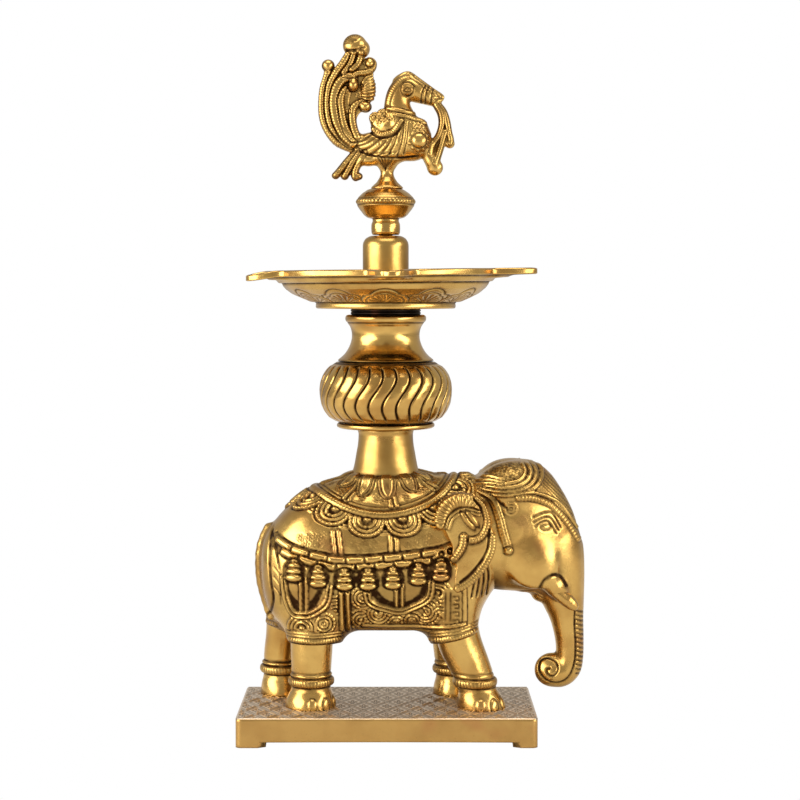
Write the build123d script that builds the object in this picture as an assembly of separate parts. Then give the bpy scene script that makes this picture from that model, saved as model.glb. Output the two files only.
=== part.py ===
"""A brass standing oil lamp (samai): a caparisoned elephant on a plinth carries a fluted pot,
a five-spouted oil dish and a bird finial. The three upper pieces unscrew from one another.

Frame: millimetres, +Z up, +X towards the elephant's head. The pieces are drawn round the middle
of the plinth's underside, with the lamp's turning axis LAMP_Y behind it, and are moved at the end
so that the origin is the middle of the whole lamp's box, at floor level.
"""

import math
import os

from build123d import *

# ---- driving dimensions, in millimetres ----
PLINTH_LENGTH = 150.0
PLINTH_DEPTH = 74.0
PLINTH_TOP = 15.0
PLINTH_FOOT_HEIGHT = 2.7
PLINTH_FOOT_LENGTH = 13.5
PLINTH_WALL = 5.0
PLINTH_PLATE = 6.0

LAMP_Y = 4.0
BOX_MIDDLE_X, BOX_MIDDLE_Y = 13.4, -0.6
CASTING_WALL = 5.0

SCREW_SHANK_R = 2.5
SCREW_HEAD_R = 4.6
SCREW_HEAD_HEIGHT = 2.6
SCREW_REACH = 12.0

COLLAR_BASE_Z = 128.0
COLLAR_TOP_Z = 157.0
POT_FOOT_TOP_Z = 160.3
POT_SHOULDER_Z = 192.0
POT_RIM_Z = 216.2
DISH_FOOT_Z = 219.2
DISH_RIM_Z = 238.8
POST_TOP_Z = 257.0
KNOB_TOP_Z = 281.2
BIRD_TOP_Z = 360.8

FIT_GAP = 0.3  # radial gap between a thread's crests and the plain bore it screws into
SEAT_GAP = 0.3  # gap under a screwed-down piece's seat, and over a stud's end
RUNNING_GAP = 0.05  # radial gap between a stud and the piece that turns with it
POT_THREAD_R, POT_THREAD_PITCH, POT_THREAD_TURNS = 6.0, 2.5, 4
DISH_THREAD_R, DISH_THREAD_PITCH, DISH_THREAD_TURNS = 18.2, 1.4, 3
FINIAL_THREAD_R, FINIAL_THREAD_PITCH, FINIAL_THREAD_TURNS = 4.0, 2.0, 5

SPOUTS = 5
SPOUT_TURN = 3.0  # degrees that the front spout stands off the front of the lamp
SPOUT_TIP_R = 76.0
SPOUT_TIP_WIDTH = 12.0
SPOUT_NECK_R = 60.0
SPOUT_NECK_WIDTH = 23.0
DISH_EDGE_R = 60.5
DISH_PLATE = 3.7


def on_axis(shape):
    """A piece made round the Z axis, moved to the lamp's turning axis."""
    return Pos(0, LAMP_Y, 0) * shape


def turned(points):
    """A solid turned round Z from the closed outline through (radius, z) points."""
    outline = Polyline(*[(r, 0, z) for r, z in points], close=True)
    return revolve(make_face(outline), Axis.Z)


def turned_smooth(bottom, curve, top):
    """A solid turned round Z whose side is one smooth curve between two flat ends."""
    side = Spline(*[(r, 0, z) for r, z in curve])
    ends = Polyline((curve[-1][0], 0, curve[-1][1]), (0, 0, top), (0, 0, bottom), (curve[0][0], 0, curve[0][1]))
    return revolve(make_face(side + ends), Axis.Z)


def threaded(radius, pitch, low, high):
    """A stud from low to high with a V groove at every pitch."""
    depth = 0.3 * pitch
    points = [(0, low), (radius - depth, low)]
    z = low
    while z + pitch <= high + 1e-6:
        points += [(radius, z + 0.35 * pitch), (radius, z + 0.65 * pitch), (radius - depth, z + pitch)]
        z += pitch
    points += [(radius - depth, high), (0, high)] if high - z > 1e-6 else [(0, high)]
    return turned(points)


def section(centre, direction, width, height):
    """An elliptical face at centre, square to direction; width runs along Y."""
    plane = Plane(origin=centre, x_dir=(0, 1, 0), z_dir=direction)
    return plane * Ellipse(width, height)


def along(stations):
    """A solid lofted through (x, y, z, half width in Y, half height) stations."""
    points = [Vector(*s[:3]) for s in stations]
    faces = []
    for i, s in enumerate(stations):
        heading = points[min(i + 1, len(points) - 1)] - points[max(i - 1, 0)]
        heading = Vector(heading.X, 0, heading.Z).normalized()
        faces.append(section(s[:3], heading, s[3], s[4]))
    return loft(faces)


def upright(stations):
    """A solid lofted through level (x, y, z, half length in X, half width in Y) stations."""
    return loft([Pos(x, y, z) * Ellipse(rx, ry) for x, y, z, rx, ry in stations])


def egg(centre, radii, slices=9):
    """An ellipsoid lofted along X from slices, its two poles flattened a little."""
    faces = []
    for i in range(slices):
        angle = math.radians(-80 + 160 * i / (slices - 1))
        x = centre[0] + radii[0] * math.sin(angle) / math.sin(math.radians(80))
        shrink = math.cos(angle)
        faces.append(section((x, centre[1], centre[2]), (1, 0, 0), radii[1] * shrink, radii[2] * shrink))
    return loft(faces)


def plate_xz(points, half_thickness, y=0.0):
    """A flat plate in the XZ plane, its edge a smooth closed curve through the points."""
    edge = Spline(*[(x, y - half_thickness, z) for x, z in points], periodic=True)
    return extrude(make_face(edge), amount=2 * half_thickness, dir=(0, 1, 0))


def largest(shape):
    return max(shape.solids(), key=lambda solid: solid.volume)


# ---- the base: plinth and elephant ----
# Each leg is (hip x, foot x, foot's distance from the elephant's middle, side).
LEGS = {
    "near_hind": (-37.5, -40.5, 13.5, -1),
    "far_hind": (-50.0, -53.0, 17.0, 1),
    "near_fore": (34.0, 48.5, 16.5, -1),
    "far_fore": (35.0, 36.5, 15.0, 1),
}
BODY_CENTRE, BODY_RADII = (-8.0, LAMP_Y, 92.0), (60.7, 32.0, 41.0)
DOME_CENTRE, DOME_RADII = (65.5, LAMP_Y, 111.5), (28.5, 22.0, 30.5)
FACE_CENTRE, FACE_RADII = (79.5, LAMP_Y, 97.0), (21.5, 17.0, 27.0)


def foot_centres():
    return [(foot_x, LAMP_Y + side * spread) for _, foot_x, spread, side in LEGS.values()]


def make_plinth():
    plate = Pos(0, 0, PLINTH_TOP / 2) * Box(PLINTH_LENGTH, PLINTH_DEPTH, PLINTH_TOP)
    plate = chamfer(plate.edges().group_by(Axis.Z)[-1], 0.6)
    underside = PLINTH_TOP - PLINTH_PLATE
    inside = Box(PLINTH_LENGTH - 2 * PLINTH_WALL, PLINTH_DEPTH - 2 * PLINTH_WALL, underside)
    plate -= Pos(0, 0, underside / 2) * inside
    for length, depth in ((PLINTH_LENGTH - 2 * PLINTH_FOOT_LENGTH, PLINTH_DEPTH + 2),
                          (PLINTH_LENGTH + 2, PLINTH_DEPTH - 2 * PLINTH_FOOT_LENGTH)):
        plate -= Pos(0, 0, PLINTH_FOOT_HEIGHT / 2) * Box(length, depth, PLINTH_FOOT_HEIGHT)
    for x, y in foot_centres():
        plate -= Pos(x, y, underside + PLINTH_PLATE / 2) * Cylinder(SCREW_SHANK_R + 0.2, PLINTH_PLATE)
        plate -= Pos(x, y, underside + SCREW_HEAD_HEIGHT / 2) * Cylinder(SCREW_HEAD_R + 0.3, SCREW_HEAD_HEIGHT)
    return plate


def make_foot_screws():
    """Slotted cheese-head screws that come up through the plinth into the feet."""
    head_low = PLINTH_TOP - PLINTH_PLATE
    shank_top = PLINTH_TOP + SCREW_REACH
    shank_low = head_low + SCREW_HEAD_HEIGHT
    head = Pos(0, 0, head_low + SCREW_HEAD_HEIGHT / 2) * Cylinder(SCREW_HEAD_R, SCREW_HEAD_HEIGHT)
    head -= Pos(0, 0, head_low) * Box(2 * SCREW_HEAD_R + 1, 1.2, 2.2)
    shank = Pos(0, 0, (shank_low + shank_top) / 2) * Cylinder(SCREW_SHANK_R, shank_top - shank_low)
    return Compound(children=[Pos(x, y, 0) * (head + shank) for x, y in foot_centres()])


def make_torso():
    neck = along([(20.0, LAMP_Y, 98, 28.0, 33.0), (46.0, LAMP_Y, 103, 24.0, 30.0), (66.0, LAMP_Y, 106, 19.0, 27.0)])
    return egg(BODY_CENTRE, BODY_RADII) + neck


def make_hollow():
    """The casting's core: the torso and the head are hollow, joined through the neck."""
    hollow = egg(BODY_CENTRE, [r - CASTING_WALL for r in BODY_RADII])
    hollow += egg(DOME_CENTRE, [r - CASTING_WALL - 1 for r in DOME_RADII])
    return hollow + along([(20.0, LAMP_Y, 98, 22.0, 27.0), (66.0, LAMP_Y, 106, 12.0, 18.0)])


def make_body(torso, hollow):
    return torso - hollow - on_axis(Pos(0, 0, 125) * Cylinder(POT_THREAD_R + 3, 40))


def make_head(torso, hollow):
    head = egg(DOME_CENTRE, DOME_RADII) + egg(FACE_CENTRE, FACE_RADII) + egg((66.0, LAMP_Y, 86.0), (19.5, 15.0, 13.5))
    return largest(head - torso - hollow)


def make_trunk(torso, head):
    upper = along([
        (88.0, LAMP_Y, 92, 13.5, 13.0),
        (91.6, LAMP_Y, 66, 9.6, 9.6),
        (94.0, LAMP_Y, 50, 7.4, 7.5),
        (95.0, LAMP_Y, 38, 6.4, 6.4),
    ])
    curl = Pos(87.0, LAMP_Y, 33.2) * Rot(90, 0, 0) * Cylinder(9.6, 11.0)
    heel = Pos(92.0, LAMP_Y, 35.0) * Rot(90, 0, 0) * Cylinder(8.6, 11.6)
    face = egg(FACE_CENTRE, FACE_RADII) + egg(DOME_CENTRE, DOME_RADII)
    return largest(upper + curl + heel - face - head - torso)


def make_leg(hip_x, foot_x, spread, side, torso):
    """One leg below the torso, tapped under its foot for the plinth's screw."""
    y = LAMP_Y + side * spread
    shin_x = hip_x + 0.7 * (foot_x - hip_x)
    leg = upright([
        (hip_x, LAMP_Y + side * 8, 84, 10.5, 9.5),
        (hip_x, y, 50, 12.4, 12.0),
        (shin_x, y, 28, 10.2, 10.2),
    ])
    ankle = upright([
        (shin_x, y, 28, 10.2, 10.2),
        (foot_x, y, 22, 11.2, 11.0),
        (foot_x, y, PLINTH_TOP, 12.6, 12.0),
    ])
    depth = SCREW_REACH + 1
    hole = Pos(foot_x, y, PLINTH_TOP + depth / 2) * Cylinder(SCREW_SHANK_R, depth)
    return largest(leg + ankle - torso - hole)


EAR_OUTLINE = [
    (25.5, 112.0), (29.5, 120.0), (37.0, 124.2), (45.0, 121.5), (51.5, 114.5), (55.0, 104.0),
    (56.4, 95.0), (53.5, 85.0), (45.5, 76.5), (35.0, 73.0), (34.0, 88.0), (31.5, 103.0),
]
EAR_INNER_Y, EAR_OUTER_Y = 17.0, 31.5


def make_ear(side, elephant):
    """A cast ear flat against the neck: what stands outside the elephant's skin."""
    middle = side * (EAR_INNER_Y + EAR_OUTER_Y) / 2
    ear = plate_xz(EAR_OUTLINE, (EAR_OUTER_Y - EAR_INNER_Y) / 2, LAMP_Y + middle) - elephant
    return largest(ear)


def make_tusk(side, elephant):
    """A tapered rod let into the cheek, lying along the side of the trunk."""
    start, end = Vector(79.5, LAMP_Y + side * 12.0, 76.0), Vector(100.5, LAMP_Y + side * 9.6, 62.8)
    along_tusk = (end - start).normalized()
    tusk = loft([Plane(origin=p, z_dir=along_tusk) * Circle(r) for p, r in ((start, 3.2), (end, 2.3))])
    return largest(tusk - elephant)


def make_collar(torso):
    height = COLLAR_TOP_Z - COLLAR_BASE_Z
    collar = turned_smooth(COLLAR_BASE_Z, [(19.0, COLLAR_BASE_Z), (16.6, 136.0), (15.0, 146.0), (14.3, 153.0),
                                           (14.8, COLLAR_TOP_Z)], COLLAR_TOP_Z)
    bore_low = COLLAR_TOP_Z - POT_THREAD_PITCH * POT_THREAD_TURNS - 3
    collar -= Pos(0, 0, (bore_low + COLLAR_TOP_Z) / 2) * Cylinder(POT_THREAD_R + FIT_GAP, COLLAR_TOP_Z - bore_low)
    collar -= Pos(0, 0, COLLAR_BASE_Z + height / 2) * Cylinder(4.0, height + 2)
    return largest(on_axis(collar) - torso)


# ---- the pot ----
POT_WALL = 3.0
NECK_BORE_R = 13.6


def make_pot_stud():
    low = COLLAR_TOP_Z - POT_THREAD_PITCH * POT_THREAD_TURNS
    return on_axis(threaded(POT_THREAD_R, POT_THREAD_PITCH, low, POT_FOOT_TOP_Z + 5.0 - 0.8))


def make_pot_foot():
    seat, bore = COLLAR_TOP_Z + SEAT_GAP, POT_THREAD_R + RUNNING_GAP
    return on_axis(turned([(bore, seat), (23.6, seat), (25.4, 158.8), (25.4, POT_FOOT_TOP_Z), (bore, POT_FOOT_TOP_Z)]))


def belly_curve(inset=0.0):
    """The belly's side from its foot to its shoulder, moved in by inset."""
    rings = [(26.2, POT_FOOT_TOP_Z), (30.6, 164.6), (33.2, 170.5), (34.2, 177.0), (33.6, 183.0), (30.6, 188.6),
             (26.2, POT_SHOULDER_Z)]
    return [(r - inset, z) for r, z in rings]


def make_pot_belly():
    outer = turned_smooth(POT_FOOT_TOP_Z, belly_curve(), POT_SHOULDER_Z)
    inner = turned_smooth(POT_FOOT_TOP_Z, belly_curve(POT_WALL), POT_SHOULDER_Z)
    inner &= Pos(0, 0, POT_SHOULDER_Z) * Box(100, 100, 2 * (POT_SHOULDER_Z - POT_FOOT_TOP_Z - POT_WALL - 2))
    belly = outer - inner
    belly -= Pos(0, 0, POT_FOOT_TOP_Z) * Cylinder(POT_THREAD_R + RUNNING_GAP, 20)
    return on_axis(belly)


def make_pot_neck():
    neck = turned_smooth(POT_SHOULDER_Z, [(25.6, POT_SHOULDER_Z), (21.6, 196.0), (18.3, 200.6), (17.3, 205.0),
                                          (18.0, 208.6), (19.8, 212.2)], 212.2)
    rim = turned([(0, 212.2), (19.8, 212.2), (21.2, 213.6), (21.2, 215.0), (19.8, POT_RIM_Z), (0, POT_RIM_Z)])
    neck += rim
    height = POT_RIM_Z - POT_SHOULDER_Z
    neck -= Pos(0, 0, POT_SHOULDER_Z + height / 2) * Cylinder(NECK_BORE_R, height)
    socket = DISH_THREAD_PITCH * DISH_THREAD_TURNS + SEAT_GAP
    return on_axis(neck - Pos(0, 0, POT_RIM_Z - socket / 2) * Cylinder(DISH_THREAD_R + FIT_GAP, socket))


def make_dish_stud():
    """The wide blackened boss under the dish: its lower turns screw into the pot's mouth."""
    low = POT_RIM_Z - DISH_THREAD_PITCH * DISH_THREAD_TURNS
    stud = threaded(DISH_THREAD_R, DISH_THREAD_PITCH, low, DISH_FOOT_Z + DISH_SOCKET - SEAT_GAP)
    return on_axis(stud - Pos(0, 0, low) * Cylinder(NECK_BORE_R, 6.0))


# ---- the oil dish ----
DISH_FLOOR_Z = 226.4
DISH_SOCKET = 4.4
POST_R = 11.9
POST_TENON_R = 7.0


def spout_outline():
    """The dish's edge seen from above: straight-sided spouts joined by arcs of the rim."""
    edge = Circle(DISH_EDGE_R)
    spout = make_face(Polyline((0, SPOUT_NECK_WIDTH / 2 + 8), (0, -SPOUT_NECK_WIDTH / 2 - 8),
                               (SPOUT_NECK_R, -SPOUT_NECK_WIDTH / 2), (SPOUT_TIP_R, -SPOUT_TIP_WIDTH / 2),
                               (SPOUT_TIP_R, SPOUT_TIP_WIDTH / 2), (SPOUT_NECK_R, SPOUT_NECK_WIDTH / 2), close=True))
    for i in range(SPOUTS):
        edge += Rot(0, 0, spout_angle(i)) * spout
    return edge


def spout_angle(i):
    return -90 + SPOUT_TURN + 360 / SPOUTS * i


def make_dish():
    plate = extrude(spout_outline(), amount=DISH_PLATE)
    plate = Pos(0, 0, DISH_RIM_Z - DISH_PLATE) * plate
    low = DISH_RIM_Z - DISH_PLATE
    bowl = turned([(0, DISH_FOOT_Z), (36.0, DISH_FOOT_Z), (36.0, 221.4), (37.6, 221.6), (43.5, 224.2), (50.0, 228.2),
                   (53.6, 230.6), (56.0, 231.4), (57.6, 234.0), (57.6, low), (0, low)])
    dish = plate + bowl
    hollow = turned([(0, DISH_FLOOR_Z), (35.0, DISH_FLOOR_Z), (43.0, 229.4), (49.0, 233.2), (53.5, DISH_RIM_Z + 1),
                     (0, DISH_RIM_Z + 1)])
    dish -= hollow
    for i in range(SPOUTS):
        channel = Pos(SPOUT_TIP_R - 28, 0, DISH_RIM_Z) * Box(46, 6.0, 4.4)
        dish -= Rot(0, 0, spout_angle(i)) * channel
    under_ring = turned([(DISH_THREAD_R + 3.4, DISH_FOOT_Z), (33.0, DISH_FOOT_Z), (33.0, 222.6),
                         (DISH_THREAD_R + 3.4, 222.6)])
    dish -= under_ring
    dish -= Pos(0, 0, DISH_FOOT_Z + DISH_SOCKET / 2) * Cylinder(DISH_THREAD_R + RUNNING_GAP, DISH_SOCKET)
    dish -= Pos(0, 0, DISH_FLOOR_Z) * Cylinder(POST_TENON_R, 10)
    return on_axis(dish)


def make_post():
    """The turned post brazed into the dish's floor, tapped on top for the finial."""
    tenon_low = DISH_FOOT_Z + DISH_SOCKET
    post = turned([(0, tenon_low), (POST_TENON_R, tenon_low), (POST_TENON_R, DISH_FLOOR_Z), (POST_R, DISH_FLOOR_Z),
                   (POST_R, 249.5), (11.2, 252.6), (9.4, 255.2), (6.6, POST_TOP_Z), (0, POST_TOP_Z)])
    depth = FINIAL_THREAD_PITCH * FINIAL_THREAD_TURNS + 2
    post -= Pos(0, 0, POST_TOP_Z - depth / 2) * Cylinder(FINIAL_THREAD_R + FIT_GAP, depth)
    return on_axis(post)


# ---- the finial ----
KNOB_EQUATOR_Z = 274.0


KNOB_SOCKET = 8.6
BIRD_TENON_R, BIRD_TENON_LENGTH = 3.0, 6.0


def make_finial_stud():
    low = POST_TOP_Z - FINIAL_THREAD_PITCH * FINIAL_THREAD_TURNS
    return on_axis(threaded(FINIAL_THREAD_R, FINIAL_THREAD_PITCH, low, POST_TOP_Z + KNOB_SOCKET - SEAT_GAP))


def make_knob():
    seat = POST_TOP_Z + SEAT_GAP
    knob = turned([(0, seat), (6.0, seat), (5.9, 258.6), (7.0, 259.6), (7.3, 261.2), (7.0, 262.8), (6.4, 263.8),
                   (9.6, 267.0), (15.2, 272.4), (15.8, KNOB_EQUATOR_Z), (15.2, 275.6), (11.6, 279.4),
                   (8.6, KNOB_TOP_Z), (0, KNOB_TOP_Z)])
    knob -= Pos(0, 0, POST_TOP_Z + KNOB_SOCKET / 2) * Cylinder(FINIAL_THREAD_R + RUNNING_GAP, KNOB_SOCKET)
    knob -= Pos(0, 0, KNOB_TOP_Z - BIRD_TENON_LENGTH / 2) * Cylinder(BIRD_TENON_R, BIRD_TENON_LENGTH)
    return on_axis(knob)


TAIL_OUTLINE = [
    (-18.0, 300.4), (-28.5, 306.0), (-34.4, 318.0), (-34.4, 330.0), (-31.6, 339.0), (-33.2, 345.0), (-28.6, 347.2),
    (-23.0, 349.0), (-23.0, 356.8), (-17.0, BIRD_TOP_Z), (-10.6, 357.0), (-9.0, 350.0), (-6.0, 344.0), (-5.4, 334.0),
    (-8.6, 322.0), (-14.6, 319.4), (-16.4, 314.6), (-13.0, 310.4), (-8.0, 306.0),
]
SPRIG_OUTLINE = [
    (27.0, 326.6), (31.6, 319.0), (34.4, 308.0), (33.4, 302.6), (29.0, 303.0), (27.6, 300.0), (28.8, 291.5),
    (25.0, 287.8), (20.6, 290.4), (16.0, 297.0), (20.0, 303.0), (25.0, 305.6), (27.6, 312.0), (27.2, 319.0),
    (24.6, 324.8),
]
HIND_FOOT_OUTLINE = [(-8.0, 299.0), (-17.0, 300.0), (-24.4, 291.5), (-27.0, 286.8), (-18.0, 284.3), (-13.8, 287.6),
                     (-12.6, 292.2)]


def make_bird():
    """The bird and the flared stem under it, one casting, with a tenon into the knob."""
    body = egg((4.5, 0, 305.0), (20.5, 9.5, 10.5))
    neck = along([(8.0, 0, 307, 8.5, 9.5), (6.0, 0, 318, 5.8, 7.0), (6.4, 0, 328, 5.0, 6.2), (12.5, 0, 333.6, 5.2, 6.2),
                  (20.0, 0, 331.2, 3.6, 4.4), (27.5, 0, 328.2, 1.6, 1.9)])
    bird = body + neck
    bird += plate_xz(TAIL_OUTLINE, 4.0)
    bird += plate_xz(SPRIG_OUTLINE, 2.5)
    bird += plate_xz(HIND_FOOT_OUTLINE, 3.5)
    stem = turned_smooth(KNOB_TOP_Z, [(8.4, KNOB_TOP_Z), (4.8, 285.0), (3.2, 290.0), (5.0, 298.0)], 298.0)
    tenon = Pos(0, 0, KNOB_TOP_Z - BIRD_TENON_LENGTH / 2) * Cylinder(BIRD_TENON_R, BIRD_TENON_LENGTH)
    return on_axis(bird + stem + tenon)


def main():
    os.makedirs("parts", exist_ok=True)
    torso, hollow = make_torso(), make_hollow()
    solid_head = egg(DOME_CENTRE, DOME_RADII) + egg(FACE_CENTRE, FACE_RADII)
    head = make_head(torso, hollow)
    trunk = make_trunk(torso, head)
    legs = {name: make_leg(*leg, torso) for name, leg in LEGS.items()}
    skin = torso + solid_head + head + trunk + legs["near_fore"] + legs["far_fore"]
    nodes = {
        "plinth": make_plinth(),
        "foot_screws": make_foot_screws(),
        "elephant_body": make_body(torso, hollow),
        "elephant_head": head,
        "elephant_trunk": trunk,
        "ear_left": make_ear(1, skin),
        "ear_right": make_ear(-1, skin),
        "tusk_left": make_tusk(1, skin),
        "tusk_right": make_tusk(-1, skin),
        "back_collar": make_collar(torso),
        "pot_stud": make_pot_stud(),
        "pot_foot": make_pot_foot(),
        "pot_belly": make_pot_belly(),
        "pot_neck": make_pot_neck(),
        "dish_stud": make_dish_stud(),
        "oil_dish": make_dish(),
        "dish_post": make_post(),
        "finial_stud": make_finial_stud(),
        "finial_knob": make_knob(),
        "finial_bird": make_bird(),
    }
    for name, leg in legs.items():
        nodes[f"leg_{name}"] = leg
    to_origin = Location((-BOX_MIDDLE_X, -BOX_MIDDLE_Y, 0))
    for name, shape in nodes.items():
        export_step(shape.moved(to_origin), f"parts/{name}.step")


main()
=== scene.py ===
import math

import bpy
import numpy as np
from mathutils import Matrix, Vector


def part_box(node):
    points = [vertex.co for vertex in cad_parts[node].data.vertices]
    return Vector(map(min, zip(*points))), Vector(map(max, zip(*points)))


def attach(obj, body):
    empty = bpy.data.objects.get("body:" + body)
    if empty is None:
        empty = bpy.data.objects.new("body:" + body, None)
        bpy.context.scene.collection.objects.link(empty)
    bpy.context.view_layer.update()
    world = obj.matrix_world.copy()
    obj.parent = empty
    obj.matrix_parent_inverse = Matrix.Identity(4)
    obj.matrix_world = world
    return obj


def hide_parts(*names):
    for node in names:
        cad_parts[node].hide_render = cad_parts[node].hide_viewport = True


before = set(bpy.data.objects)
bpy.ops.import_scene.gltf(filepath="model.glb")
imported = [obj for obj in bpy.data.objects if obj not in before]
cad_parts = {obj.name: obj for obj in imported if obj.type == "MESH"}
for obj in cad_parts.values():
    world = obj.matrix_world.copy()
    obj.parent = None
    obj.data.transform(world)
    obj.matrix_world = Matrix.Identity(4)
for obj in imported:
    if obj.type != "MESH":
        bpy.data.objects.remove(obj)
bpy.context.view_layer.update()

# Looks of the brass standing oil lamp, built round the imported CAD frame.
#
# Every piece is modelled in millimetres in lamp coordinates: the lamp's turning axis is x = y = 0,
# the floor is z = 0 and the elephant faces +X. place() moves a finished piece onto the frame.
# Shapes come from three tools: turned() for turnings, Clay for castings (soft solids on a distance
# grid), and Relief, which draws raised and cut ornament on a surface and says where patina stays.

import openvdb
from mathutils import Vector

MM = 0.001
TAU = 2 * math.pi
belly_low, belly_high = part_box("pot_belly")
AXIS = np.array([(belly_low.x + belly_high.x) / 2, (belly_low.y + belly_high.y) / 2, 0.0]) / MM
PLINTH_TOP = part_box("plinth")[1].z / MM
# The two castings stand a little forward of the stem's turning axis, in millimetres.
SET_FORWARD = {"elephant_brass": 0.9, "bird_brass": 0.7}


# ---------------------------------------------------------------- meshes

def place(name, points, faces, patina, body, slot, material, replaces=()):
    """Makes a mesh piece from lamp-coordinate points and rides it on its body."""
    points = points + [SET_FORWARD.get(slot, 0.0), 0, 0]
    mesh = bpy.data.meshes.new(name)
    sizes = np.concatenate([np.full(len(f), f.shape[1]) for f in faces])
    corners = np.concatenate([f.ravel() for f in faces]).astype(np.int32)
    mesh.vertices.add(len(points))
    mesh.vertices.foreach_set("co", ((points + AXIS) * MM).astype(np.float32).ravel())
    mesh.loops.add(len(corners))
    mesh.polygons.add(len(sizes))
    mesh.polygons.foreach_set("loop_start", np.concatenate([[0], np.cumsum(sizes)[:-1]]).astype(np.int32))
    mesh.polygons.foreach_set("vertices", corners)
    mesh.update(calc_edges=True)
    mesh.shade_smooth()
    # The patina attribute holds patina in cuts and hollows, and on the elephant's body and head also painted
    # shade underneath.
    stain = mesh.attributes.new("patina", "FLOAT", "POINT")
    stain.data.foreach_set("value", np.broadcast_to(patina, len(points)).astype(np.float32))
    piece = bpy.data.objects.new(name, mesh)
    bpy.context.scene.collection.objects.link(piece)
    mesh.materials.append(material)
    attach(piece, body)
    if replaces:
        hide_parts(*replaces)
    return piece


def triangles_of(faces):
    """The triangles and quads of faces, all as triangles."""
    parts = [f if f.shape[1] == 3 else np.concatenate([f[:, :3], f[:, [0, 2, 3]]]) for f in faces]
    return np.concatenate(parts)


def outward(points, faces):
    """The faces, turned so that they enclose a positive volume."""
    t = triangles_of(faces)
    a, b, c = points[t[:, 0]], points[t[:, 1]], points[t[:, 2]]
    volume = np.einsum("ij,ij->i", a, np.cross(b, c)).sum()
    return faces if volume > 0 else [f[:, ::-1] for f in faces]


def normals_of(points, faces):
    """The unit normal at each point, weighted by the size of the faces round it."""
    t = triangles_of(faces)
    a, b, c = points[t[:, 0]], points[t[:, 1]], points[t[:, 2]]
    n = np.cross(b - a, c - a)
    total = np.stack([sum(np.bincount(t[:, k], n[:, i], len(points)) for k in range(3)) for i in range(3)],
                     1)
    return total / np.maximum(np.linalg.norm(total, axis=1, keepdims=True), 1e-12)


def edges_of(faces):
    """Every edge of every face, as pairs of point numbers."""
    pairs = [np.stack([f, np.roll(f, -1, axis=1)], 2).reshape(-1, 2) for f in faces]
    return np.concatenate(pairs)


def spread(values, edges, rounds):
    """Values averaged with their neighbours' a number of times."""
    n = len(values)
    count = np.bincount(edges.ravel(), minlength=n)[:, None] + 1e-9
    v = values.reshape(n, -1).astype(np.float64)
    a, b = edges[:, 0], edges[:, 1]
    for _ in range(rounds):
        total = [np.bincount(a, column[b], n) + np.bincount(b, column[a], n) for column in v.T]
        v = 0.3 * v + 0.7 * np.stack(total, 1) / count
    return v.reshape(values.shape)


def hollows(points, faces, rounds=10, depth=0.25):
    """How far each point lies in a hollow, from 0 on open surfaces to 1 in a cut."""
    normals, edges = normals_of(points, faces), edges_of(faces)
    fine = np.einsum("ij,ij->i", spread(points, edges, rounds) - points, normals)
    wide = np.einsum("ij,ij->i", spread(points, edges, 4 * rounds) - points, normals)
    return np.clip(fine / depth, 0, 1) * 0.75 + np.clip(wide / (2.5 * depth), 0, 1) * 0.5


def soften(points, step, sigma):
    """The polyline through points, resampled at step and rounded at its corners by about sigma."""
    p = np.array(points, float)
    run = np.concatenate([[0], np.cumsum(np.linalg.norm(np.diff(p, axis=0), axis=1))])
    s = np.linspace(0, run[-1], max(int(run[-1] / step), 4) + 1)
    line = np.stack([np.interp(s, run, p[:, i]) for i in range(p.shape[1])], 1)
    reach = int(3 * sigma / step) + 1
    kernel = np.exp(-0.5 * (np.arange(-reach, reach + 1) * step / sigma) ** 2)
    kernel /= kernel.sum()
    ahead = 2 * line[0] - line[reach:0:-1] if len(line) > reach else np.repeat(line[:1], reach, 0)
    after = np.repeat(line[-1:], reach, 0)
    if len(line) > reach + 1:
        after = 2 * line[-1] - line[-2:-reach - 2:-1]
    padded = np.concatenate([ahead, line, after])
    out = np.stack([np.convolve(padded[:, i], kernel, "valid") for i in range(p.shape[1])], 1)
    out[0], out[-1] = line[0], line[-1]
    return out


def curve(points, count):
    """count points along the smooth curve through points."""
    p = np.array(points, float)
    run = np.concatenate([[0], np.cumsum(np.linalg.norm(np.diff(p[:, :3], axis=0), axis=1))])
    padded = np.concatenate([[2 * p[0] - p[1]], p, [2 * p[-1] - p[-2]]])
    s = np.linspace(0, run[-1], count)
    i = np.clip(np.searchsorted(run, s, "right") - 1, 0, len(p) - 2)
    t = ((s - run[i]) / (run[i + 1] - run[i]))[:, None]
    a, b, c, d = padded[i], padded[i + 1], padded[i + 2], padded[i + 3]
    return 0.5 * (2 * b + (c - a) * t + (2 * a - 5 * b + 4 * c - d) * t**2 + (3 * b - a - 3 * c + d) * t**3)


def ring_faces(rows, columns):
    """Quads of a grid of rows rings with columns points each, joined round."""
    i, j = np.meshgrid(np.arange(rows - 1), np.arange(columns), indexing="ij")
    a, b = i * columns + j, i * columns + (j + 1) % columns
    return np.stack([a, b, b + columns, a + columns], -1).reshape(-1, 4)


def grid_faces(rows, columns):
    """Quads of an open grid."""
    i, j = np.meshgrid(np.arange(rows - 1), np.arange(columns - 1), indexing="ij")
    a = i * columns + j
    return np.stack([a, a + 1, a + 1 + columns, a + columns], -1).reshape(-1, 4)


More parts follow.
